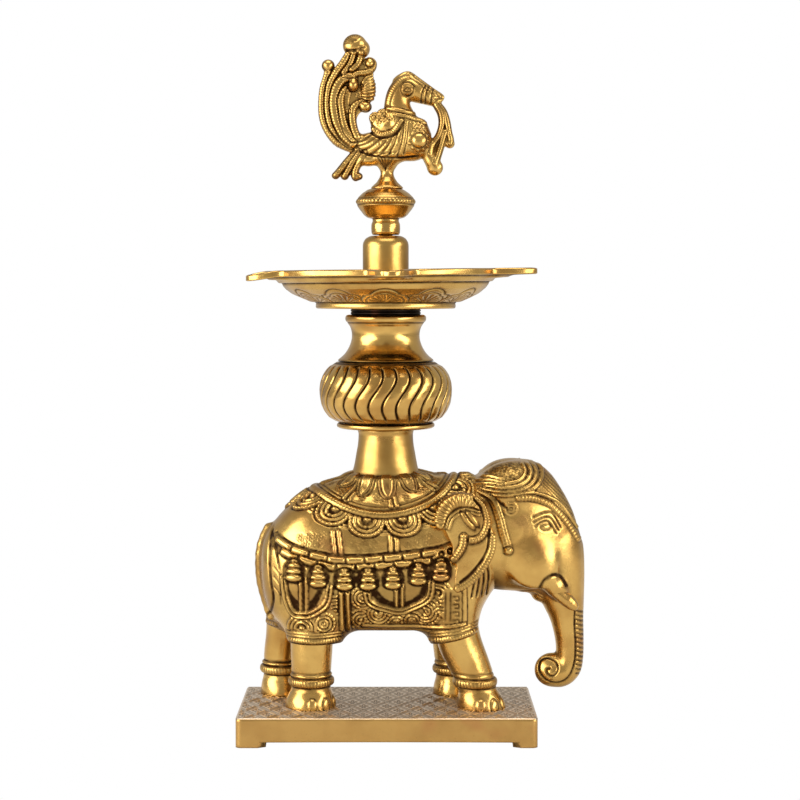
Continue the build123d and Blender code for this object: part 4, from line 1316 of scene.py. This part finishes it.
def ear_relief(points, normals):
    """The ear's roped edges, inner folds and two seeds."""
    x, _, z = points.T
    r = Relief(x, z)
    r.cord([(26.6, 110.6), (27.8, 116.0), (31.4, 120.8), (36.8, 123.0), (42.4, 121.8), (45.2, 119.6)], 6.8,
           2.3, pitch=1.9, slant=0.0, rim=0.9)
    for k in range(2):
        r.cord([(29.8 + 1.4 * k, 109.6 - k), (32.0 + 1.3 * k, 115.0 - 1.2 * k), (37.0 + k, 118.2 - 1.6 * k),
                (42.5, 118.4 - 1.8 * k), (46.4, 116.8 - 1.4 * k)], 1.3, 0.8, rim=0.5)
    r.dome(40.6, 112.6, 5.2, 1.5, 1.1, lean=-52, rim=0.5)
    r.dome(43.0, 113.6, 4.6, 1.3, 1.0, lean=-52, rim=0.5)
    r.cord([(45.6, 124.2), (49.0, 119.8), (50.6, 113.6), (49.8, 108.0), (46.8, 104.0), (42.2, 102.6),
            (38.2, 104.2)], 3.2, 1.7, pitch=1.5, slant=0.0, rim=0.9)
    r.cord([(38.6, 104.6), (38.2, 100.2), (36.2, 96.4), (33.6, 93.2)], 3.4, 1.7, pitch=1.5, slant=0.0,
           rim=0.9)
    r.cord([(53.4, 104.0), (53.0, 98.2), (51.2, 93.2), (47.8, 87.8), (43.2, 82.8), (38.4, 79.3),
            (35.6, 78.2)], 3.4, 0.9, pitch=1.5, slant=0.0, rim=0.8)
    r.line([(51.6, 108.0), (50.6, 98.0), (46.6, 91.0), (41.6, 85.4), (36.8, 81.4)], 0.8, 0.7, 0.98)
    facing = smooth((np.abs(normals[:, 1]) - 0.15) / 0.3)
    return r.h * facing, r.dark * facing


def ear_face(x, z):
    """How far the ear's outer face stands out from the lamp's middle plane."""
    return 30.9 - 0.05 * (x - 28) - 0.0034 * np.clip(x - 38, 0, 99) ** 2 - 0.0004 * (z - 104) ** 2


def ears():
    """Two leaf-shaped ears laid along the neck."""
    for name, node, side in (("ear_near", "ear_right", -1), ("ear_far", "ear_left", 1)):
        clay = Clay((23, min(side * 14, side * 34), 74), (57, max(side * 14, side * 34), 129), 0.4)

        def leaf(x, y, z):
            edge = inside_of(EAR_EDGE, x[:, 0, :], z[0])[:, None, :] + 1.0
            thick = np.abs(y * side - ear_face(x, z) + 3.2) - 3.4 + 1.0
            outside = np.hypot(np.maximum(edge, 0), np.maximum(thick, 0))
            return outside - 1.0 + np.minimum(np.maximum(edge, thick), 0)

        clay.add(leaf, (24, min(side * 16, side * 33), 75), (56, max(side * 16, side * 33), 128), 0.5)
        points, faces = clay.mesh()
        points, patina = dressed(points, faces, ear_relief, rounds=6, limit=2.4)
        place(name, points, faces, patina, "base", "elephant_brass", BODY, [node])


# Each leg: its line of (x, y, z, radius) stations, the foot's centre and radius, and its first nail's angle.
LEGS = {"leg_near_hind": ([(-38.6, -12.5, 60, 10.6), (-39.0, -12.4, 46, 10.5), (-39.2, -12.2, 34, 9.9),
                           (-39.2, -12.0, 24, 9.8)], -39.8, -12.0, 12.9, -82),
        "leg_far_hind": ([(-54.2, 16, 62, 9.8), (-54.8, 18, 48, 9.4), (-56.2, 20, 36, 9.3),
                          (-56.2, 20.6, 24, 9.8)], -55.2, 20.0, 12.2, 82),
        "leg_near_fore": ([(34.6, -13, 60, 11.2), (37.2, -13.2, 48, 10.8), (42.4, -13.6, 36, 9.9),
                           (46.6, -13.8, 25, 9.4)], 48.4, -13.8, 12.3, -94),
        "leg_far_fore": ([(34.0, 15, 60, 10.8), (34.0, 17, 46, 10.2), (34.8, 18.4, 34, 9.6),
                          (35.4, 19, 24, 9.4)], 35.8, 19.0, 11.6, 82),}
ANKLETS = ((28.0, 1.9, 2.2), (31.4, 1.1, 0.8))


def foot(top, x, y, r):
    """A foot that spreads from the leg's last station, top, to radius r round (x, y)."""
    def shape(px, py, pz):
        t = np.clip((24.5 - pz) / 9.5, 0, 1)
        cx, cy = top[0] + (x - top[0]) * t, top[1] + (y - top[1]) * t
        radius = top[3] - 0.2 + (r - top[3] + 0.2) * np.sin(t * math.pi / 2) ** 0.9
        d = np.hypot(px - cx, py - cy) - radius
        return np.maximum(d, np.maximum(PLINTH_TOP - 0.6 - pz, pz - 25))

    return shape


def anklet(cx, cy, z, radius, tall):
    """A ring of the given radius round the leg's middle (cx, cy) at height z."""
    def shape(px, py, pz):
        return np.hypot(np.hypot(px - cx, py - cy) - radius, (pz - z) * 1.2 / tall) - 1.2

    return shape


def leg_marks(x, y, r, toe):
    """The anklet's rope, the cut lines beside it, and three toenails."""
    def marks(p, _):
        angle = np.arctan2(p[:, 1] - y, p[:, 0] - x)
        rel = Relief(angle * r, p[:, 2])
        ribs = np.exp(-(((p[:, 2] - 28.0) / 1.8) ** 4))
        wave = 0.5 + 0.5 * np.cos(angle * 44 + 0.5 * p[:, 2])
        rel.h += 0.3 * ribs * wave
        rel.dark = np.maximum(rel.dark, 0.7 * ribs * (1 - wave) ** 2)
        for level in (25.4, 30.4, 32.8):
            cut = ridge(p[:, 2] - level, 0.45)
            rel.h -= 0.35 * cut
            rel.dark = np.maximum(rel.dark, 0.9 * cut)
        for nail in (0, 36, 72):
            rel.dome(math.radians(toe - math.copysign(nail, toe)) * r, 17.4, 2.5, 3.2, 0.7, rim=0.6,
                     flat=0.35)
        return rel.h, rel.dark

    return marks


def legs():
    """Four legs with anklets and toenails; each starts inside its thigh's cuff."""
    for name, (line, x, y, r, toe) in LEGS.items():
        low = (min(x, line[0][0]) - 15, y - 16, 14.2)
        clay = Clay(low, (max(x, line[0][0]) + 15, y + 17, 64), 0.5)
        clay.limb(line, 1.0, pieces=14)
        above, top = line[-2:]
        clay.add(foot(top, x, y, r), (x - 16, y - 16, 14), (x + 16, y + 16, 26), 0.8)
        for z, proud, tall in ANKLETS:
            cx, cy = np.interp(z, [24, 35], [top[0], above[0]]), np.interp(z, [24, 35], [top[1], above[1]])
            clay.add(anklet(cx, cy, z, top[3] + proud - 1.2, tall), (cx - 15, cy - 15, z - 3),
                     (cx + 15, cy + 15, z + 3), 0.3)
        points, faces = clay.mesh()
        points, patina = dressed(points, faces, leg_marks(x, y, r, toe), limit=1.3)
        place(name + "_cast", points, faces, patina, "base", "elephant_brass", BODY, [name])


# ---------------------------------------------------------------- bird finial

FEATHERS = ([(-18.9, 301.8), (-26.0, 305.2), (-31.0, 311.7), (-33.3, 318.4), (-33.6, 326.3), (-32.9, 333.0),
             (-31.2, 338.6), (-30.2, 343.0)], [(-18.3, 303.0), (-24.6, 307.6), (-28.9, 313.4),
                                               (-30.6, 320.7), (-30.7, 328.5), (-29.4, 335.3),
                                               (-26.5, 340.9), (-22.8, 345.9), (-20.2, 350.0)],
            [(-17.8, 304.4), (-22.5, 308.8), (-25.7, 315.0), (-27.2, 321.8), (-27.3, 327.6), (-25.9, 333.2),
             (-23.2, 336.9), (-19.8, 338.4), (-17.4, 337.0)],
            [(-17.4, 306.4), (-20.7, 310.8), (-22.6, 316.4), (-23.6, 322.0), (-24.0, 326.5), (-22.9, 330.2),
             (-21.3, 332.4)], [(-15.6, 308.0), (-17.2, 312.6), (-18.0, 317.6), (-17.8, 321.8),
                               (-15.6, 324.6), (-12.6, 325.4)],
            [(-22.0, 339.5), (-18.3, 339.2), (-14.6, 340.6), (-10.5, 341.0), (-7.6, 343.0), (-7.0, 345.9),
             (-9.0, 347.4), (-11.0, 345.9)], [(-17.2, 350.6), (-19.2, 345.1), (-22.4, 340.9)],
            [(-13.3, 350.4), (-14.8, 345.6), (-18.4, 342.2)],)
TUFT = (
    [(-15.4, 300.8), (-20.6, 295.2), (-24.6, 290.2), (-26.6, 288.0)],
    [(-14.0, 299.9), (-17.8, 294.8), (-20.6, 289.8), (-21.9, 287.6)],
    [(-11.6, 299.4), (-14.4, 294.8), (-16.4, 290.6), (-16.6, 287.2), (-14.6, 287.6)],
)
GARLAND = ([(25.8, 325.0), (29.0, 321.2), (30.8, 316.2), (31.8, 310.5), (32.8, 306.4), (32.6, 304.6)],
           [(25.4, 324.0), (27.5, 320.6), (28.4, 316.2), (27.9, 311.9), (26.4, 308.0), (24.0, 304.4),
            (22.4, 299.0)], [(29.9, 310.4), (28.2, 304.4), (26.4, 298.6), (25.0, 294.0)],)
TAIL_EDGE = [(-17.5, 302.0), (-26.5, 304.4), (-31.8, 311.0), (-34.0, 319.0), (-34.2, 327.0), (-33.0, 335.0),
             (-29.5, 341.5), (-24.0, 344.5), (-19.0, 349.0), (-12.5, 349.0), (-7.6, 344.0), (-7.4, 338.0),
             (-7.0, 332.0), (-9.6, 326.6), (-9.6, 321.6), (-13.6, 320.8), (-15.8, 317.2), (-15.8, 312.6),
             (-14.6, 308.6), (-12.5, 306.5)]


def plumage(r):
    """Beaded tail feathers, small fan, seeds, tuft, garland and the ribbed crest bulb."""
    for k in range(8):
        r.cord([(-15.4 + 0.4 * k, 329.2 + 0.9 * k), (-10.6, 327.4 + 1.55 * k), (-6.6, 327.6 + 1.9 * k)], 1.5,
               0.7, rim=0.4)
    for k, feather in enumerate(FEATHERS):
        wide, pitch = (4.6, 1.5) if k == 2 else (3.3, 1.3) if k < 5 else (2.7, 1.2)
        r.cord(feather, wide, 0.9, pitch=pitch, slant=0.2, rim=0.6, count=60)
    r.cord([(-19.6, 331.6), (-20.8, 326.4), (-20.2, 321.0)], 2.4, 0.6, pitch=1.3, slant=0.2, rim=0.5)
    for px, pz, wide, tall in ((-17.4, 334.4, 2.5, 3.2), (-30.4, 344.8, 2.7, 2.6), (-11.4, 323.4, 2.8, 2.4),
                               (-8.9, 345.8, 2.0, 2.1)):
        r.dome(px, pz, wide, tall, 0.8, rim=0.6)
    for strand in TUFT:
        r.cord(strand, 2.6, 0.6, pitch=1.1, slant=0.2, rim=0.5)
    for strand in GARLAND:
        r.cord(strand, 2.4, 0.5, pitch=1.0, slant=0.2, rim=0.4)
    for k in range(9):
        a = math.radians(62 + 14 * k)
        r.line([(-16.6 + 1.4 * math.cos(a), 356.0 + 1.0 * math.sin(a)),
                (-16.6 + 6.2 * math.cos(a), 355.0 + 5.8 * math.sin(a))], 0.55, 0.4, 0.7)
    r.line([(-22.4, 352.4), (-17.5, 351.8), (-11.6, 353.6)], 0.7, 0.6)


def bird_head(r):
    """Mane, forehead cord, eye, bridle lines and the beak's cut."""
    mane = [(-2.0, 321.8), (-0.9, 328.6), (1.9, 334.1), (5.8, 338.3), (10.8, 340.6)]
    inner = [(p + 1.7, q - 1.1) for p, q in mane]
    r.cord(inner, 2.9, 0.7, pitch=1.25, slant=0.0, rim=0.5)
    r.cord([(10.8, 340.2), (16.4, 336.0), (22.0, 332.0), (27.6, 328.6)], 1.5, 0.6, pitch=1.0, rim=0.4)
    r.line([(6.8, 333.2), (9.2, 335.3), (12.2, 335.2), (14.6, 333.0)], 0.5, 0.4)
    r.line([(8.6, 331.2), (10.4, 330.4), (12.4, 331.2), (10.4, 332.6), (8.6, 331.2)], 0.45, 0.35)
    ring = ridge(np.hypot(r.u - 10.4, r.v - 331.6) - 3.3, 0.5) * (r.v < 333.5)
    r.h -= 0.5 * ring
    r.dark = np.maximum(r.dark, 0.9 * ring)
    for px, lean in ((18.2, 1.6), (20.4, 1.5), (23.4, 1.2)):
        r.line([(px + lean, 334.0), (px, 330.5), (px - 0.8, 325.0)], 0.6, 0.5, 0.95)
    r.line([(24.4, 327.0), (28.6, 327.5)], 0.5, 0.5, 0.9)
    r.dome(25.2, 329.4, 0.8, 0.7, 0.5, rim=0.3)


def breast_and_wing(r):
    """Neck cords, curls on the shoulder, wing feathers, scales, the breast rosette and the stem's flutes."""
    for line, wide, pitch in (([(-0.4, 319.6), (8.6, 318.4), (15.4, 316.8), (21.0, 314.8)], 2.0, 1.1),
                              ([(0.4, 322.2), (9.8, 320.4), (16.6, 319.6)], 1.8, 0.0),
                              ([(-8.4, 312.2), (-3.2, 309.0), (3.0, 310.4), (7.4, 315.4)], 2.6, 1.2)):
        r.cord(line, wide, 0.8, pitch=pitch, rim=0.7)
    for px, pz, radii in ((-6.0, 317.8, [2.5, 1.2]), (-2.2, 319.4, [2.2, 1.1]), (-3.0, 315.4, [2.1, 1.0]),
                          (1.4, 316.2, [2.1, 1.0])):
        r.arcs(px, pz, radii, -30, 250, 0.9, 0.6, pitch=1.3)
    r.line([(-8.6, 310.4), (-3.4, 307.0), (4.0, 308.6), (8.8, 314.8)], 0.9, 0.7, 0.98)
    for a, b, wide in (((-13.4, 299.8), (-3.7, 306.4), 0.75), ((-9.0, 298.3), (-0.3, 305.4), 0.75),
                       ((-4.6, 297.6), (2.5, 306.4), 0.75), ((0.2, 297.4), (5.4, 309.0), 0.7),
                       ((5.4, 297.6), (8.8, 313.4), 0.7), ((8.6, 298.6), (11.0, 314.6), 0.55),
                       ((-16.6, 304.8), (-8.8, 308.6), 0.7), ((-16.4, 302.4), (-6.6, 307.0), 0.6)):
        r.line([a, ((a[0] + b[0]) / 2 + 0.5, (a[1] + b[1]) / 2 - 0.7), b], wide, 0.5, 0.8, count=16)
    for k in range(3):
        for m in range(3):
            r.arcs(13.4 + 1.9 * m + 0.9 * (k % 2), 314.6 - 1.5 * k + 0.2 * m, [1.0], 180, 360, 0.7, 0.35)
    for k in range(11):
        a = TAU * k / 11
        r.dome(16.6 + 5.0 * math.cos(a), 305.4 + 5.0 * math.sin(a), 0.8, 0.8, 0.5, rim=0.35)
    r.dome(16.6, 305.4, 3.6, 3.6, 1.1, rim=0.6)
    r.line([(-14, 300.4), (-6, 297.4), (4, 296.6), (16, 297.6)], 0.7, 0.5, 0.95)
    for k in range(5):
        r.line([(-4.6 + 1.9 * k, 296.4), (-1.0 + 0.1 * k, 290.8)], 0.55, 0.4, 0.8)


def bird_relief(points, normals):
    """Everything cut and raised on the bird."""
    x, _, z = points.T
    r = Relief(x, z)
    plumage(r)
    bird_head(r)
    breast_and_wing(r)
    facing = smooth((np.abs(normals[:, 1]) - 0.08) / 0.25)
    return r.h * facing, np.clip(r.dark * facing, 0, 1)


STEM = {281.15: 8.3, 281.9: 8.3, 282.6: 7.6, 284.6: 5.4, 287.0: 3.9, 289.0: 3.3, 290.6: 3.6, 293.2: 5.2,
        295.6: 7.2, 298.0: 8.6}
KNOB_TOP, LAMP_TOP = 281.12, 360.8


def tail_web(x, y, z):
    """The thin web that joins the tail's feathers."""
    edge = inside_of(TAIL_EDGE, x[:, 0, :], z[0])[:, None, :]
    return np.maximum(edge, np.abs(y) - 1.7)


def stem(x, y, z):
    """The flared stem between the knob and the bird, from its radius at each height."""
    radius = np.interp(z, list(STEM), list(STEM.values()))
    return np.maximum((np.hypot(x, y) - radius) * 0.8, np.maximum(281.15 - z, z - 298.5))


def bird_tail(clay):
    """Web, feathers, crest bulb and buds."""
    clay.add(tail_web, (-36, -3, 300), (-5, 3, 352), 0.5)
    for k, feather in enumerate(FEATHERS):
        wide = 2.5 if k == 2 else 1.9 if k < 5 else 1.6
        clay.limb([(px, 0, pz, wide) for px, pz in feather], 0.6, flat=1.9 if k < 5 else 1.7, pieces=22)
    clay.egg((-30.4, 0, 344.6), (3.4, 3.6, 3.3), 0.4)
    clay.egg((-16.6, 0, 355.0), (6.2, 5.4, 5.9), 0.6)
    clay.egg((-13.2, 0, 353.2), (4.4, 5.8, 4.8), 0.4)
    clay.egg((-17.4, 0, 334.2), (2.9, 5.6, 3.7), 0.4)
    clay.egg((-9.8, 0, 332.6), (4.0, 4.4, 7.2), 1.0)
    clay.egg((-8.8, 0, 345.0), (2.6, 3.9, 2.8), 0.4)
    clay.egg((-11.2, 0, 323.4), (3.4, 4.4, 3.0), 0.4)


def bird_body(clay):
    """Breast, neck, horse-like head, mane and shoulder curls."""
    body = [(-20.0, 305.6, 302.2, 1.6), (-15, 308.9, 300.4, 4.2), (-9, 310.6, 297.8, 6.4),
            (-3, 311.9, 296.5, 8.0), (4, 314.6, 295.6, 9.0), (11, 317.6, 295.2, 9.4),
            (17, 318.2, 295.9, 8.8), (21, 315.2, 299.2, 6.8), (23.2, 309.5, 302.6, 3.0)]
    clay.add(barrel(body, 2.1), (-20, -9.5, 296), (23.2, 9.5, 319), 1.5)
    clay.limb([(8.4, 0, 312, 8.6), (6.4, 0, 318, 7.2), (5.2, 0, 324, 6.0), (6.2, 0, 330, 5.6),
               (9.2, 0, 334.6, 5.4)], 1.5, pieces=16)
    clay.limb([(10.0, 0, 333.6, 5.6), (15.2, 0, 331.4, 5.2), (20.0, 0, 329.2, 4.0), (24.6, 0, 327.2, 2.9),
               (28.0, 0, 328.0, 1.3)], 1.2, pieces=16)
    clay.limb([(4.6, 0, 337.0, 1.6), (8.4, 0, 339.0, 1.8), (11.2, 0, 339.8, 1.7), (17, 0, 335.6, 1.8),
               (23, 0, 331.4, 1.7), (28.4, 0, 328.6, 1.1)], 1.2, pieces=16)
    for side in (-1, 1):
        clay.egg((10.6, side * 4.4, 331.6), (3.6, 2.4, 2.9), 0.5)
        clay.egg((16.6, side * 7.0, 305.4), (4.6, 2.6, 4.6), 1.2)
    clay.egg((-6.2, 0, 317.8), (3.2, 3.6, 2.9), 0.5)
    clay.egg((-2.4, 0, 319.6), (3.0, 4.2, 3.0), 0.8)
    clay.limb([(-5.5, 0, 316, 3.0), (-3.0, 0, 311, 4.0)], 1.5, pieces=3)
    clay.egg((0.4, 0, 313.6), (7.0, 6.6, 5.4), 1.5)


def bird_strands(clay):
    """Tuft under the tail, garland from the beak, and the raised foot."""
    for strand in TUFT:
        clay.limb([(px, 0, pz, 1.9) for px, pz in strand], 0.5, flat=1.5, pieces=10)
        clay.egg((strand[-1][0], 0, strand[-1][1]), (2.1, 2.8, 1.9), 0.3)
    clay.egg((-9.6, 0, 296.2), (6.0, 4.6, 3.4), 1.6)
    clay.limb([(-13.4, 0, 299, 3.0), (-15.8, 0, 296, 2.4)], 1, pieces=3)
    for strand in GARLAND:
        clay.limb([(px, 0, pz, 1.6) for px, pz in strand], 1.0, flat=1.4, pieces=18)
    clay.egg((32.4, 0, 304.4), (2.6, 3.0, 2.4), 0.5)
    clay.limb([(20.4, 0, 303, 3.8), (21.6, 0, 298, 3.0), (23.6, 0, 294, 3.2)], 1.0, flat=1.2, pieces=10)
    clay.egg((24.8, 0, 292.2), (4.2, 3.6, 4.2), 0.8)


def bird():
    """The crested bird with a garland in its beak and a scrolling tail, on its flared stem."""
    clay = Clay((-37, -11, 280.6), (36.5, 11, 361.4), 0.38)
    bird_tail(clay)
    bird_body(clay)
    bird_strands(clay)
    clay.add(stem, (-9, -9, 281), (9, 9, 299), 2.0)
    points, faces = clay.mesh()
    points, patina = dressed(points, faces, bird_relief, rounds=6, limit=1.1)
    points[:, 2] = np.clip(points[:, 2], KNOB_TOP, LAMP_TOP)
    place("finial_bird_cast", points, faces, patina, "finial", "bird_brass", BIRD, ["finial_bird"])


# ---------------------------------------------------------------- studio

CAMERA_PLACE = (-6.0, -939.4, 228.0)  # millimetres
CAMERA_DOWN = 1.7  # degrees
CAMERA_LENS, CAMERA_SENSOR, CAMERA_SHIFT = 81.9, 36, -0.0679
LAMP_MIDDLE = Vector((0, 0, 0.16))


def softbox(name, angle, height, distance, width, tall, power):
    """An area light aimed at the lamp; angle is measured round the lamp from the camera's side."""
    light = bpy.data.lights.new(name, "AREA")
    light.shape, light.size, light.size_y, light.energy = "RECTANGLE", width, tall, power
    lamp = bpy.data.objects.new(name, light)
    bpy.context.scene.collection.objects.link(lamp)
    a = math.radians(angle)
    lamp.location = Vector((distance * math.sin(a), -distance * math.cos(a), height))
    lamp.rotation_euler = (LAMP_MIDDLE - lamp.location).to_track_quat("-Z", "Z").to_euler()


def room():
    """A white world for the camera, and a dimmer, warmer one for the metal."""
    world = bpy.data.worlds.new("white_room")
    bpy.context.scene.world = world
    add, link = empty_tree(world)
    out, mix = add("ShaderNodeOutputWorld"), add("ShaderNodeMixShader")
    walls, white = add("ShaderNodeBackground"), add("ShaderNodeBackground")
    ray = add("ShaderNodeLightPath")
    walls.inputs["Color"].default_value = (1.0, 0.985, 0.96, 1)
    walls.inputs["Strength"].default_value = 0.56
    white.inputs["Color"].default_value = (1, 1, 1, 1)
    white.inputs["Strength"].default_value = 1.0
    link(ray.outputs["Is Camera Ray"], mix.inputs["Fac"])
    link(walls.outputs["Background"], mix.inputs[1])
    link(white.outputs["Background"], mix.inputs[2])
    link(mix.outputs["Shader"], out.inputs["Surface"])


def white_floor():
    """A wide pale floor, plain white to the camera."""
    mesh = bpy.data.meshes.new("floor")
    mesh.from_pydata([(-6, -3, 0), (6, -3, 0), (6, 6, 0), (-6, 6, 0)], [], [(0, 1, 2, 3)])
    floor = bpy.data.objects.new("floor", mesh)
    bpy.context.scene.collection.objects.link(floor)
    paint = bpy.data.materials.new("white_floor")
    add, link = empty_tree(paint)
    end, both = add("ShaderNodeOutputMaterial"), add("ShaderNodeMixShader")
    matt, glow = add("ShaderNodeBsdfDiffuse"), add("ShaderNodeEmission")
    seen = add("ShaderNodeLightPath")
    matt.inputs["Color"].default_value = (0.75, 0.75, 0.75, 1)
    glow.inputs["Color"].default_value = (1, 1, 1, 1)
    glow.inputs["Strength"].default_value = 1.0
    link(seen.outputs["Is Camera Ray"], both.inputs["Fac"])
    link(matt.outputs["BSDF"], both.inputs[1])
    link(glow.outputs["Emission"], both.inputs[2])
    link(both.outputs["Shader"], end.inputs["Surface"])
    mesh.materials.append(paint)


def camera():
    """The camera in front of the lamp, looking slightly down."""
    data = bpy.data.cameras.new("camera")
    data.lens, data.sensor_width, data.shift_y = CAMERA_LENS, CAMERA_SENSOR, CAMERA_SHIFT
    view = bpy.data.objects.new("camera", data)
    bpy.context.scene.collection.objects.link(view)
    view.location = [v * MM for v in CAMERA_PLACE]
    view.rotation_euler = (math.radians(90 - CAMERA_DOWN), 0, 0)
    bpy.context.scene.camera = view


def studio():
    """Pale room, three softboxes, floor and camera."""
    room()
    softbox("left_softbox", -62, 0.40, 1.15, 0.72, 1.15, 16)
    softbox("right_softbox", 60, 0.40, 1.20, 0.44, 1.15, 9)
    softbox("top_softbox", 10, 1.50, 0.35, 1.1, 0.8, 11)
    white_floor()
    bpy.context.scene.view_settings.view_transform = "Standard"
    camera()


def carried_over():
    """Materials of the CAD nodes that show as they are: the three studs and the screws."""
    for node, material in (("pot_stud", THREAD), ("dish_stud", THREAD), ("finial_stud", THREAD),
                           ("foot_screws", SCREW)):
        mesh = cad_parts[node].data
        mesh.materials.clear()
        mesh.materials.append(material)


plinth()
elephant_body()
elephant_head()
tusks()
ears()
legs()
collar()
pot_parts()
dish()
post_and_knob()
bird()
carried_over()
studio()
